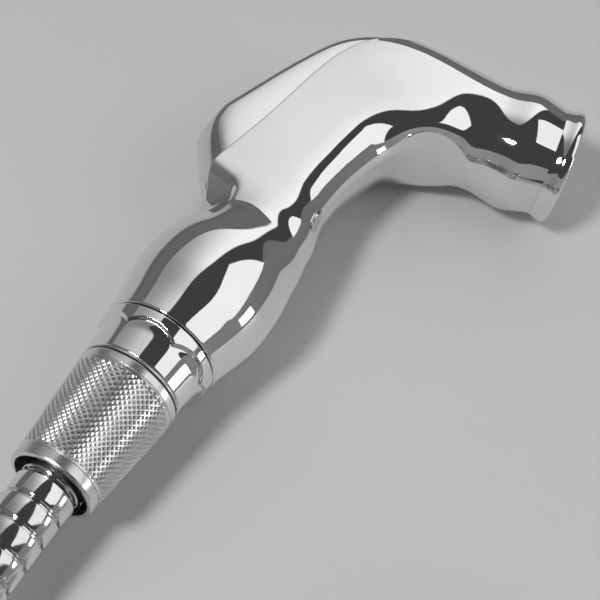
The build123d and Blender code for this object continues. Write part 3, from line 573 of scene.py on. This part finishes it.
def body_grids():
    """The body's surface: closed outlines, the open stretch over the channel, and both ends."""
    last = strip_end_station()
    start = stations((0.0, EDGE_R, 0.05), (EDGE_R, FINE_START, 0.5),
                     (FINE_START, CHANNEL_START, 0.1))
    middle = stations((CHANNEL_START, FOOT_END, 0.12), (FOOT_END, RAMP_END, 0.3),
                      (RAMP_END, last, 0.6))
    end = stations((last, HEAD_STATION, 0.5))
    corner, inner, angle = rim_points(middle)
    share = smoothstep(FINE_START, CHANNEL_START, start)
    top_start = TOP_ANGLE + (angle[0] - TOP_ANGLE) * share
    first = closed_rows(start[:-1], top_start[:-1])
    first = np.concatenate([first, rim_row(middle[:1], corner[:1], inner[:1], angle[:1])])
    walls = channel_walls(middle, inner)
    floor = across_to_middle(walls[:, -1])
    opened = mirrored(np.concatenate([side_loop(middle, angle), corner, walls, floor[:, 1:]], 1))
    top_end = angle[-1] + (TOP_ANGLE - angle[-1]) * smoothstep(last, last + TOP_FADE, end)
    third = closed_rows(end[1:], top_end[1:])
    third = np.concatenate([rim_row(middle[-1:], corner[-1:], inner[-1:], angle[-1:]), third])
    inlet = room(first[0], INLET_ROOM, np.zeros(3), X_AXIS)
    face, inward = np.array((*FACE, 0.0)), np.array((*-HEAD_OUT, 0.0))
    nozzle = room(third[-1], NOZZLE_ROOM, face, inward)
    grids = [grid(part, around=True) for part in (first, opened, third)]
    grids += [grid(end_wall(inner[k], walls[k])) for k in (0, -1)]
    return grids + [grid(part, around=True) for part in (inlet, nozzle)]


def room(border, profile, centre, axis):
    """A turned room that opens inside a border loop: each row keeps the border's angles."""
    offset = border - centre
    offset = offset - (offset @ axis)[:, None] * axis
    rows = [centre + axis * along + unit(offset) * radius for along, radius in profile]
    return np.stack([border, *rows])


# ---- lever ----
LEVER_POINTS = 90
SKIRT_POINTS = 9
BOSS_R = 3.0
BOSS_Y, BOSS_TOP = 15.3, 19.6
BOSS_SIDES = 96


def lever_grids():
    """The lever: its outer form down to the skirts' edges, and the hollow's form back."""
    last = strip_end_station() - LEVER_END_GAP
    q = stations((LEVER_START, FOOT_END, 0.12), (FOOT_END, RAMP_END, 0.25), (RAMP_END, last, 0.6))
    centre, way = sections_at(q)[:2]
    height = seam_height(q)
    angle = angle_at_height(q, height, lever=True)
    share = np.linspace(0, 1, LEVER_POINTS)[None, :]
    sweep = angle[:, None] + (pi / 2 - angle[:, None]) * share
    radius = skin_radius(q, sweep, lever=True)
    up, across = radius * np.sin(sweep), radius * np.cos(sweep)
    skirt = np.linspace(-SKIRT_DEPTH, 0, SKIRT_POINTS)[None, :-1]
    up = np.concatenate([height[:, None] + skirt, up], 1)
    across = np.concatenate([across[:, :1] + 0 * skirt, across], 1)
    foot = up[:, :1]
    roof = up[:, -1:] - LEVER_WALL
    ramp_room = (centre[:, 0:1] - LEVER_START) * tan(RAMP_SLOPE) - LEVER_WALL
    roof = np.minimum(roof, foot + np.maximum(ramp_room + SKIRT_DEPTH - LEVER_WALL, 0))
    in_up = np.clip(up - THINNEST_WALL, foot, np.maximum(roof, foot))
    in_across = np.clip(across - THINNEST_WALL, 0, np.maximum(across[:, :1] - LEVER_WALL, 0))
    outside = both_sides(placed(centre, way, up, across))
    inside = both_sides(placed(centre, way, in_up, in_across))
    loop = np.concatenate([outside, inside[:, ::-1]], 1)
    caps = [grid(np.stack([outside[k], inside[k]])) for k in (0, -1)]
    boss = turned(boss_profile(), VALVE_X * X_AXIS, Y_AXIS, X_AXIS, BOSS_SIDES)
    return [grid(loop, around=True), *caps, grid(boss, around=True)]


def boss_profile():
    """The post under the lever's roof: a half ball that ends as a cylinder."""
    angle = np.linspace(-pi / 2, 0, 16)
    ball = np.stack([BOSS_Y + BOSS_R * np.sin(angle), BOSS_R * np.cos(angle)], 1)
    return np.concatenate([ball, [(BOSS_TOP, BOSS_R), (BOSS_TOP, 0.0)]])


# ---- return spring ----
SPRING_FOOT, SPRING_HEIGHT = 6.1, 4.1       # of the wire's middle, along y
SPRING_TURNS, SPRING_R, SPRING_WIRE = 3.5, 3.6, 0.35
SPRING_POINTS = 220
WIRE_SIDES = 12


def spring_grids():
    """The return spring: a circle of points carried along a helix about y, its ends closed.

    The circle stands across the helix: one of its axes points away from the spring's axis, the
    other is square to that and to the helix's direction. A point in each end's middle closes it.
    """
    turn = np.linspace(0, 2 * pi * SPRING_TURNS, SPRING_POINTS)[:, None, None]
    angle = around_circle(WIRE_SIDES)[None, :, None]
    climb = SPRING_HEIGHT / (2 * pi * SPRING_TURNS)
    out = np.cos(turn) * X_AXIS + np.sin(turn) * Z_AXIS
    ahead = SPRING_R * (np.cos(turn) * Z_AXIS - np.sin(turn) * X_AXIS) + climb * Y_AXIS
    side = np.cross(unit(ahead), out)
    foot = np.array((VALVE_X, SPRING_FOOT, 0.0))
    middle = foot + SPRING_R * out + climb * turn * Y_AXIS
    wire = middle + SPRING_WIRE * (np.cos(angle) * out + np.sin(angle) * side)
    return [grid(tube(middle, wire), around=True)]


# ---- flow ring ----
RING_TOP, RING_END = -0.3, -11.3
RING_TOP_R, RING_END_R = 14.04, 12.81
RING_BORE = 10.95
SCALLOPS = 7
SCALLOP_AT = 86.0       # degrees, the middle of one arch
SCALLOP_R = 10.7
SCALLOP_APEX = -2.6
SCALLOP_STEP = (-0.35, 0.45)    # how far inside an arch its step starts and ends
HOLLOW = 0.35           # of each arch, in its middle
HOLLOW_START = (0.3, 2.5)
RING_COLUMNS = 540
RING_EDGE = 0.45        # radius of the ring's rounded edges


def ring_grids(depth):
    """The flow ring: a cone whose lower part is recessed inside the arches, with rounded steps.

    Inside an arch means within SCALLOP_R of a line square to the axis; the recess is the depth
    times a smooth step of how far inside the point lies, plus a shallow hollow in each arch.
    """
    angle = around_circle(RING_COLUMNS)[None, :]
    pitch = 2 * pi / SCALLOPS
    off = (angle - radians(SCALLOP_AT) + pitch / 2) % pitch - pitch / 2
    line = SCALLOP_APEX - SCALLOP_R + np.sqrt(SCALLOP_R**2 - (RING_TOP_R * np.sin(off)) ** 2)
    above = stations((0.0, 0.5, 0.07), (0.5, 1.5, 0.25))[:, None]
    step = stations((-0.7, 1.1, 0.1))[:, None]
    below = stations((1.1, 4.0, 0.5), (4.0, 6.0, 0.5))[:, None]
    end = stations((0.5, 0.0, 0.07))[:, None]
    x = [RING_TOP - above + 0 * line, line - step, line - below[1:], RING_END + end + 0 * line]
    x = np.concatenate(x)
    share = (x - RING_TOP) / (RING_END - RING_TOP)
    plain = RING_TOP_R + share * (RING_END_R - RING_TOP_R)
    inside = line - x
    ridge = np.minimum(np.abs(off) / pitch * 2, 1)
    hollow = HOLLOW * (1 - ridge**1.5) * smoothstep(*HOLLOW_START, inside)
    radius = plain - depth * smoothstep(*SCALLOP_STEP, inside) - hollow
    to_edge = np.clip(np.minimum(RING_TOP - x, x - RING_END), 0, RING_EDGE)
    radius = radius - RING_EDGE + np.sqrt(RING_EDGE**2 - (RING_EDGE - to_edge) ** 2)
    shape = about_x(x, radius, angle)
    inner = about_x(np.array([[RING_END], [RING_TOP]]) + 0 * angle, RING_BORE, angle)
    return [grid(np.concatenate([shape, inner, shape[:1]]), around=True)]


# ---- hose nut ----
NUT_TOP, NUT_END = -12.2, -40.6
NUT_TOP_R, NUT_END_R = 12.25, 9.89
KNURL_TOP, KNURL_END = -14.6, -37.9
NUT_MOUTH = 10.5
NUT_BORE = [(NUT_END, 8.9), (-25.9, 8.1), (-24.4, 8.1), (-24.4, NUT_MOUTH), (NUT_TOP, NUT_MOUTH)]
NUT_EDGE, NUT_CHAMFER = 0.45, 0.15
NUT_GROOVE = 0.25       # beside each plain band
KNURL_FINE = 6          # points from one groove to the next
KNURL_WIDTH = 0.38      # of half a groove, as a share of the pitch


def nut_r(x):
    """The cone's radius at x."""
    return NUT_TOP_R + (x - NUT_TOP) / (NUT_END - NUT_TOP) * (NUT_END_R - NUT_TOP_R)


def under_cone(x, depth=0.0):
    """A point of the nut's profile, so far under the cone."""
    return x, nut_r(x) - depth


NUT_FRONT = [
    (NUT_TOP, NUT_MOUTH), (NUT_TOP, NUT_TOP_R - NUT_EDGE),
    (NUT_TOP - NUT_CHAMFER, NUT_TOP_R - NUT_CHAMFER), under_cone(NUT_TOP - NUT_EDGE),
    under_cone(-14.2), under_cone(-14.3, NUT_GROOVE), under_cone(-14.5, NUT_GROOVE),
]
NUT_BACK = [
    under_cone(-38.0, NUT_GROOVE), under_cone(-38.25, NUT_GROOVE), under_cone(-38.35),
    under_cone(-40.15), under_cone(-40.45, NUT_CHAMFER), (NUT_END, NUT_END_R - NUT_EDGE),
]


def nut_grids(pitch, depth):
    """The cone nut, with crossed V grooves between two plain bands.

    With i counted along and j around, both in shares of the pitch, the grooves lie where
    i + j or i - j is whole; a point's depth falls with its distance from the nearer one.
    """
    around = int(round(pi * (nut_r(KNURL_TOP) + nut_r(KNURL_END)) / pitch))
    columns = around * KNURL_FINE
    length = KNURL_TOP - KNURL_END
    along = int(round(length / pitch))
    i = np.arange(along * KNURL_FINE + 1)
    j = np.arange(columns)
    one = ((i[:, None] + j[None]) / KNURL_FINE) % 1
    two = ((i[:, None] - j[None]) / KNURL_FINE) % 1
    near = np.minimum(np.minimum(one, 1 - one), np.minimum(two, 1 - two))
    fade = np.clip(np.minimum(i, i[::-1]) / KNURL_FINE * 1.5, 0, 1)[:, None]
    sunk = depth * np.clip(1 - near / KNURL_WIDTH, 0, 1) * fade
    x = KNURL_TOP - i / KNURL_FINE * length / along
    knurl = np.stack([x[:, None] + 0 * sunk, nut_r(x)[:, None] - sunk], -1)
    front, back, bore = [np.broadcast_to(np.array(part)[:, None], (len(part), columns, 2))
                         for part in (NUT_FRONT, NUT_BACK, NUT_BORE)]
    rows = np.concatenate([front, knurl, back, bore])
    points = about_x(rows[..., 0], rows[..., 1], around_circle(columns)[None, :])
    return [grid(points, around=True)]


# ---- hose ----
def coil_points():
    """Control points of the coil: rings of points that climb a diameter near the end of each turn.

    A spline of this order runs inside its control points by the mean of 1 and the cosine of
    half a step, twice over, so they stand that much further out.
    """
    step = 2 * pi / TURN_POINTS
    out = COIL_R / (0.75 + 0.25 * cos(step))
    count = np.arange(1, int(COIL_TURNS * TURN_POINTS))
    turn = count / TURN_POINTS
    angle = pi / 2 + turn * 2 * pi
    middle = np.array(HOSE_START[-1])
    climb = np.floor(turn) + smoothstep(*TURN_CLIMB, turn % 1)
    ring = [out * np.cos(angle), out * np.sin(angle) - COIL_R, 2 * HOSE_R * climb]
    return middle + np.stack(ring, 1)


def route_line():
    """The hose's centre line: points read from the NURBS spline through the route, in the frame."""
    points = in_frame([*HOSE_START, *coil_points(), *HOSE_TAIL])
    curve = bpy.data.curves.new("hose_route", "CURVE")
    curve.dimensions = "3D"
    line = curve.splines.new("NURBS")
    line.points.add(len(points) - 1)
    line.points.foreach_set("co", np.column_stack([points, np.ones(len(points))]).ravel())
    line.order_u = 3
    line.use_endpoint_u = True
    line.resolution_u = 16
    route = bpy.data.objects.new("hose_route", curve)
    mesh = bpy.data.meshes.new_from_object(route)
    read = np.zeros(len(mesh.vertices) * 3)
    mesh.vertices.foreach_get("co", read)
    bpy.data.objects.remove(route)
    bpy.data.meshes.remove(mesh)
    return read.reshape(-1, 3)


BAND = np.array([       # one pitch of the hose: share of it, and radius, counted in grooves
    (0.0, -1.0), (0.13, -1.0), (0.14, -0.2), (0.17, -0.05), (0.21, 0.0), (0.5, -0.02),
    (0.88, -0.1), (0.95, -0.16), (0.985, -0.3),
])
HOSE_SIDES = 44
LOOK = 2 * MM           # how far ahead and behind the line's direction is taken


def hose_grids(line, pitch, groove):
    """The wound hose: a tube along the line whose radius dips to the groove's between bands.

    In one pitch the radius goes from the groove's floor over a rounded shoulder to the band,
    which is a little barrel-shaped, and back.
    """
    far = lengths_to(line)
    length = far[-1]
    bands = int(round(length / (pitch * MM)))
    share = np.append((np.arange(bands)[:, None] + BAND[:, 0]).ravel() / bands, 1.0)
    radius = HOSE_R + groove * np.append(np.tile(BAND[:, 1], bands), -1.0)

    def points_at(places):
        return np.stack([np.interp(places, far, line[:, k]) for k in range(3)], 1)

    at = share * length
    centre = points_at(at)[:, None]
    along = points_at(np.clip(at + LOOK, 0, length)) - points_at(np.clip(at - LOOK, 0, length))
    along = unit(along)[:, None]
    side = unit(np.cross(Z_AXIS, along))
    angle = around_circle(HOSE_SIDES)[None, :, None]
    ring = np.cos(angle) * side + np.sin(angle) * np.cross(along, side)
    points = tube(centre, centre + ring * (radius * MM)[:, None, None])
    return [grid((points - ORIGIN) / MM, around=True)]


# ---- finishes ----
def add_node(tree, kind, inputs=(), **settings):
    """Makes a node with its settings and its inputs, constants or links; returns its outputs."""
    node = tree.nodes.new(kind)
    for name, value in settings.items():
        setattr(node, name, value)
    for name, value in dict(inputs).items():
        if isinstance(value, bpy.types.NodeSocket):
            tree.links.new(value, node.inputs[name])
        else:
            node.inputs[name].default_value = value
    return node.outputs


def combine(tree, operation, one, other):
    """The sum or product of two numbers in a node tree."""
    return add_node(tree, "ShaderNodeMath", {0: one, 1: other}, operation=operation)[0]


MARKS_SOCKETS = {
    "INPUT": {"Roughness": "Float", "Film": "Float", "Scale": "Float", "Colour": "Color",
              "Dull colour": "Color"},
    "OUTPUT": {"Roughness": "Float", "Colour": "Color", "Height": "Float"},
}
FILM_RANGE = {"From Min": 0.42, "From Max": 0.72}
SPECKS = 1800.0         # the fine specks' scale


def handling_group():
    """Handling marks: a broad clouded film that dulls and shades the finish, and fine specks.

    The roughness is the finish's own plus the film's strength times its cloud.
    """
    tree = bpy.data.node_groups.new("handling_marks", "ShaderNodeTree")
    for side, sockets in MARKS_SOCKETS.items():
        for label, kind in sockets.items():
            tree.interface.new_socket(label, in_out=side, socket_type="NodeSocket" + kind)
    given = add_node(tree, "NodeGroupInput")
    place = add_node(tree, "ShaderNodeTexCoord")["Object"]
    cloud = {"Vector": place, "Scale": given["Scale"], "Detail": 4.0, "Roughness": 0.6}
    film = add_node(tree, "ShaderNodeTexNoise", cloud)["Fac"]
    spread = add_node(tree, "ShaderNodeMapRange", {"Value": film, **FILM_RANGE})[0]
    fine = add_node(tree, "ShaderNodeTexNoise", {"Vector": place, "Scale": SPECKS, "Detail": 2.0})
    lift = combine(tree, "MULTIPLY", spread, given["Film"])
    rough = combine(tree, "ADD", lift, given["Roughness"])
    colours = {"Factor": spread, "A": given["Colour"], "B": given["Dull colour"]}
    shade = add_node(tree, "ShaderNodeMix", colours, data_type="RGBA")
    add_node(tree, "NodeGroupOutput", {"Roughness": rough, "Height": fine["Fac"],
                                       "Colour": shade["Result"]})
    return tree


FINISHES = {    # colour, dull colour, roughness, the film's strength and scale, and bump
    "chrome": ((0.80, 0.805, 0.82), (0.74, 0.745, 0.765), 0.035, 0.03, 45.0, 0.01),
    "knurled_metal": ((0.80, 0.80, 0.81), (0.66, 0.66, 0.67), 0.24, 0.1, 160.0, 0.05),
    "hose_metal": ((0.78, 0.78, 0.79), (0.66, 0.66, 0.67), 0.06, 0.08, 120.0, 0.03),
    "plate_steel": ((0.62, 0.62, 0.63), (0.5, 0.5, 0.5), 0.22, 0.1, 90.0, 0.08),
    "plain_steel": ((0.6, 0.6, 0.61), (0.46, 0.46, 0.47), 0.28, 0.12, 120.0, 0.06),
    "brass": ((0.78, 0.58, 0.27), (0.55, 0.38, 0.17), 0.24, 0.16, 110.0, 0.05),
    "rubber": ((0.025, 0.025, 0.026), (0.05, 0.05, 0.05), 0.55, 0.2, 220.0, 0.2),
    "white_plastic": ((0.78, 0.78, 0.75), (0.7, 0.7, 0.66), 0.35, 0.12, 140.0, 0.1),
    "black_plastic": ((0.03, 0.03, 0.032), (0.06, 0.06, 0.06), 0.42, 0.15, 200.0, 0.15),
}
NOT_METAL = ("rubber", "white_plastic", "black_plastic")
GRAINS = {"plate_steel": (90.0, 90.0, 2600.0), "brass": (2200.0, 160.0, 160.0)}
RELIEF = 0.0002         # in metres, how high a bump of 1 is


def make_finish(name, colour, dull, roughness, film, scale, bump):
    """A finish from the handling marks, with a bump from their specks or from its own grain."""
    material = bpy.data.materials.new(name)
    material.use_nodes = True
    tree = material.node_tree
    tree.nodes.clear()
    group = bpy.data.node_groups.get("handling_marks") or handling_group()
    given = {"Roughness": roughness, "Film": film, "Scale": scale, "Colour": (*colour, 1),
             "Dull colour": (*dull, 1)}
    marks = add_node(tree, "ShaderNodeGroup", given, node_tree=group)
    height = marks["Height"]
    if name in GRAINS:
        place = add_node(tree, "ShaderNodeTexCoord")["Object"]
        turn = add_node(tree, "ShaderNodeMapping", {"Vector": place, "Scale": GRAINS[name]})
        lines = {"Vector": turn[0], "Scale": 1.0, "Detail": 3.0}
        height = add_node(tree, "ShaderNodeTexNoise", lines)["Fac"]
    relief = {"Height": height, "Strength": bump, "Distance": RELIEF}
    surface = {"Base Color": marks["Colour"], "Roughness": marks["Roughness"],
               "Metallic": float(name not in NOT_METAL),
               "Normal": add_node(tree, "ShaderNodeBump", relief)["Normal"]}
    shader = add_node(tree, "ShaderNodeBsdfPrincipled", surface)
    add_node(tree, "ShaderNodeOutputMaterial", {"Surface": shader["BSDF"]}, is_active_output=True)
    return material


NODE_FINISH = {
    "chrome": ["nozzle_ring", "hose_ferrule", "far_ferrule", "far_nut"],
    "plate_steel": ["spray_plate", "filter_screen"],
    "plain_steel": ["lever_pivot_pin", "ring_clip", "drive_pin"],
    "brass": ["valve_stem", "valve_seat", "stem_gland", "inlet_nipple"],
    "rubber": ["valve_disc", "stem_o_ring", "nozzle_gasket", "ring_o_rings", "hose_washer",
               "far_washer"],
    "white_plastic": ["flow_distributor", "throttle_rotor", "throttle_stator", "throttle_spacer"],
    "black_plastic": ["hose_tie"],
}


def dress(piece, name):
    """Gives a piece the finish of that name, which is made once."""
    piece.data.materials.clear()
    piece.data.materials.append(
        bpy.data.materials.get(name) or make_finish(name, *FINISHES[name]))


# ---- stage ----
CAMERA_AT = (-161.5, -69.1, 277.9)
CAMERA_WAY = (0.5616, 0.1478, -0.8141)
CAMERA_RIGHT = (0.4913, -0.8512, 0.1843)


def make_camera():
    """The camera, 90 mm on a 36 mm sensor, looking down at the sprayer from its hose's side."""
    forward = Vector(CAMERA_WAY).normalized()
    right = (Vector(CAMERA_RIGHT) - Vector(CAMERA_RIGHT).dot(forward) * forward).normalized()
    up = right.cross(forward)
    data = bpy.data.cameras.new("camera")
    data.lens = 90
    data.sensor_width = 36
    data.clip_start = 0.01
    camera = add_object("camera", data)
    turn = Matrix((right, up, -forward)).transposed().to_4x4()
    camera.matrix_world = Matrix.Translation(Vector(in_frame(CAMERA_AT))) @ turn
    bpy.context.scene.camera = camera


LAMPS = {               # at, size and power; all face one point
    "square_lamp": ((330.0, -470.0, 560.0), (620.0, 560.0), 1.1),
    "small_lamp": ((260.0, -760.0, 130.0), (160.0, 160.0), 0.4),
    "sun_lamp": ((-620.0, 360.0, 960.0), (200.0, 200.0), 6.0),
}
LAMPS_FACE = (60.0, 0.0, 0.0)


def make_lamp(name, at, size, power):
    """A soft rectangular lamp at a point in millimetres."""
    data = bpy.data.lights.new(name, "AREA")
    data.shape = "RECTANGLE"
    data.size, data.size_y = size[0] * MM, size[1] * MM
    data.energy = power
    turn = (Vector(LAMPS_FACE) - Vector(at)).to_track_quat("-Z", "Y").to_matrix().to_4x4()
    add_object(name, data).matrix_world = Matrix.Translation(Vector(in_frame(at))) @ turn


FLOOR_FLAT, FLOOR_BEND, WALL_TOP = 1600.0, 500.0, 1000.0
FLOOR_MIDDLE = (30.0, 0.0, -ORIGIN[2] / MM)


def make_floor(colour):
    """A plain pale floor that curves up into a wall all round, far from the sprayer."""
    angle = np.linspace(0, pi / 2, 12)
    curve = [FLOOR_BEND - FLOOR_BEND * np.cos(angle), FLOOR_FLAT + FLOOR_BEND * np.sin(angle)]
    profile = [[(0.0, 0.0)], np.stack(curve, 1), [(WALL_TOP, FLOOR_FLAT + FLOOR_BEND)]]
    rows = turned(np.concatenate(profile), FLOOR_MIDDLE, Z_AXIS, X_AXIS, 96)
    points, quads = grid(rows, around=True)
    mesh = bpy.data.meshes.new("floor")
    mesh.from_pydata(in_frame(points).tolist(), [], quads.tolist())
    mesh.shade_smooth()
    floor = add_object("floor", mesh)
    material = bpy.data.materials.new("floor_paint")
    material.use_nodes = True
    shader = material.node_tree.nodes["Principled BSDF"]
    shader.inputs["Base Color"].default_value = (*colour, 1)
    shader.inputs["Roughness"].default_value = 0.6
    mesh.materials.append(material)


DOME_DARK, DOME_BRIGHT = 0.07, 1.3
DOME_STEPS = [          # a way, from and to along it, and the light's share at both
    ((0.0, 1.0, 0.0), 0.05, 0.85, 1.0, 0.3),
    ((1.0, 0.0, 0.0), -0.1, 0.5, 0.25, 1.0),
    ((0.4, 1.0, -0.25), 0.09, 0.13, 0.0, 1.0),
]


def make_world():
    """A soft dome: dim at the nozzle's side, then bright, and dimmer towards lever and hose.

    The light is a product of smooth steps, each along a way of its own.
    """
    world = bpy.data.worlds.new("studio")
    bpy.context.scene.world = world
    world.use_nodes = True
    tree = world.node_tree
    tree.nodes.clear()
    out = add_node(tree, "ShaderNodeTexCoord")["Generated"]
    light = DOME_BRIGHT
    for way, start, end, low, high in DOME_STEPS:
        along = add_node(tree, "ShaderNodeVectorMath", {0: out, 1: way}, operation="DOT_PRODUCT")
        given = {"Value": along["Value"], "From Min": start, "From Max": end, "To Min": low,
                 "To Max": high}
        step = add_node(tree, "ShaderNodeMapRange", given, interpolation_type="SMOOTHSTEP")
        light = combine(tree, "MULTIPLY", light, step[0])
    light = combine(tree, "ADD", light, DOME_DARK)
    back = add_node(tree, "ShaderNodeBackground", {"Strength": light})
    add_node(tree, "ShaderNodeOutputWorld", {"Surface": back[0]})


# ---- settings ----
def in_mm(name, about, default, low, high):
    """A setting in millimetres."""
    return bpy.props.FloatProperty(name=name, description=f"{about}, in mm", default=default,
                                   min=low, max=high)


class SprayerSettings(bpy.types.PropertyGroup):
    """Sizes and colours that a user would change."""
    knurl_pitch: in_mm("Knurl pitch", "From one groove of the nut to the next", 1.5, 0.6, 3.0)
    knurl_depth: in_mm("Knurl depth", "Depth of the nut's grooves", 0.24, 0.05, 0.5)
    band_pitch: in_mm("Band pitch", "Length of one band of the hose", 5.6, 2.0, 12.0)
    band_groove: in_mm("Band groove", "Depth between the hose's bands", 1.0, 0.2, 2.0)
    scallop_depth: in_mm("Scallop depth", "Depth of the flow ring's recess", 0.6, 0.1, 1.0)
    floor_colour: bpy.props.FloatVectorProperty(
        name="Floor colour", description="Colour of the plain floor", subtype="COLOR", size=3,
        default=(0.8, 0.8, 0.8), min=0.0, max=1.0)


class SPRAYER_OT_stage(bpy.types.Operator):
    """Sets up the camera, the pale floor and the soft light."""
    bl_idname = "sprayer.stage"
    bl_label = "Stage"

    def execute(self, context):
        context.scene.view_settings.view_transform = "Standard"
        make_camera()
        make_floor(context.scene.sprayer.floor_colour)
        make_world()
        for name, lamp in LAMPS.items():
            make_lamp(name, *lamp)
        return {"FINISHED"}


class SPRAYER_OT_hose(bpy.types.Operator):
    """Lays the wound metal hose along its route and coil."""
    bl_idname = "sprayer.hose"
    bl_label = "Hose"

    def execute(self, context):
        settings = context.scene.sprayer
        line = route_line()
        grids = hose_grids(line, settings.band_pitch, settings.band_groove)
        hose = make_piece("wound_hose", grids, "hose_metal", crease=28)
        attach(hose, "sprayer")
        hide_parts("hose", "hose_coil", "hose_tail")
        return {"FINISHED"}


class SPRAYER_OT_body(bpy.types.Operator):
    """Makes the grip, neck and head with the lever's channel."""
    bl_idname = "sprayer.body"
    bl_label = "Body"

    def execute(self, context):
        body = make_piece("chromed_body", body_grids(), "chrome", crease=62)
        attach(body, "sprayer")
        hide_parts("body")
        return {"FINISHED"}


class SPRAYER_OT_lever(bpy.types.Operator):
    """Makes the thumb lever."""
    bl_idname = "sprayer.lever"
    bl_label = "Lever"

    def execute(self, context):
        lever = make_piece("chromed_lever", lever_grids(), "chrome", crease=62)
        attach(lever, "lever")
        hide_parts("lever")
        return {"FINISHED"}


class SPRAYER_OT_spring(bpy.types.Operator):
    """Makes the return spring and gives it a mesh of its own; the spring gets shorter as the
    valve's stem sinks, but this mesh keeps one length.
    """
    bl_idname = "sprayer.spring"
    bl_label = "Return spring"

    def execute(self, context):
        spring = make_piece("coil_spring", spring_grids(), "plain_steel")
        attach(spring, "sprayer")
        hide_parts("return_spring")
        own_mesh(spring)
        return {"FINISHED"}


class SPRAYER_OT_flow_ring(bpy.types.Operator):
    """Makes the scalloped flow ring."""
    bl_idname = "sprayer.flow_ring"
    bl_label = "Flow ring"

    def execute(self, context):
        grids = ring_grids(context.scene.sprayer.scallop_depth)
        ring = make_piece("scalloped_ring", grids, "chrome")
        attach(ring, "flow_ring")
        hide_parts("control_ring")
        return {"FINISHED"}


class SPRAYER_OT_hose_nut(bpy.types.Operator):
    """Makes the knurled cone nut."""
    bl_idname = "sprayer.hose_nut"
    bl_label = "Hose nut"

    def execute(self, context):
        settings = context.scene.sprayer
        grids = nut_grids(settings.knurl_pitch, settings.knurl_depth)
        nut = make_piece("knurled_nut", grids, "knurled_metal", crease=20)
        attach(nut, "sprayer")
        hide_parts("hose_nut")
        return {"FINISHED"}


class SPRAYER_OT_fittings(bpy.types.Operator):
    """Gives the nozzle, valve, throttle and hose fittings their finishes."""
    bl_idname = "sprayer.fittings"
    bl_label = "Fittings"

    def execute(self, context):
        for name, nodes in NODE_FINISH.items():
            for node in nodes:
                dress(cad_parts[node], name)
        return {"FINISHED"}


OPERATORS = (SPRAYER_OT_stage, SPRAYER_OT_hose, SPRAYER_OT_body, SPRAYER_OT_lever,
             SPRAYER_OT_spring, SPRAYER_OT_flow_ring, SPRAYER_OT_hose_nut, SPRAYER_OT_fittings)


class SPRAYER_PT_panel(bpy.types.Panel):
    """Lists the sprayer's settings and its operators."""
    bl_idname = "SPRAYER_PT_panel"
    bl_label = "Bath sprayer"
    bl_space_type = "VIEW_3D"
    bl_region_type = "UI"
    bl_category = "Sprayer"

    def draw(self, context):
        for name in SprayerSettings.__annotations__:
            self.layout.prop(context.scene.sprayer, name)
        for operator in OPERATORS:
            self.layout.operator(operator.bl_idname)


CLASSES = (SprayerSettings, *OPERATORS, SPRAYER_PT_panel)


def register():
    """Registers the classes and puts the settings on the scene."""
    for item in CLASSES:
        bpy.utils.register_class(item)
    bpy.types.Scene.sprayer = bpy.props.PointerProperty(type=SprayerSettings)


def unregister():
    """Takes the settings and the classes away again."""
    del bpy.types.Scene.sprayer
    for item in reversed(CLASSES):
        bpy.utils.unregister_class(item)


def main():
    """Registers the add-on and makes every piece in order."""
    register()
    bpy.ops.sprayer.stage()
    bpy.ops.sprayer.hose()
    bpy.ops.sprayer.body()
    bpy.ops.sprayer.lever()
    bpy.ops.sprayer.spring()
    bpy.ops.sprayer.flow_ring()
    bpy.ops.sprayer.hose_nut()
    bpy.ops.sprayer.fittings()


if __name__ == "__main__":
    main()
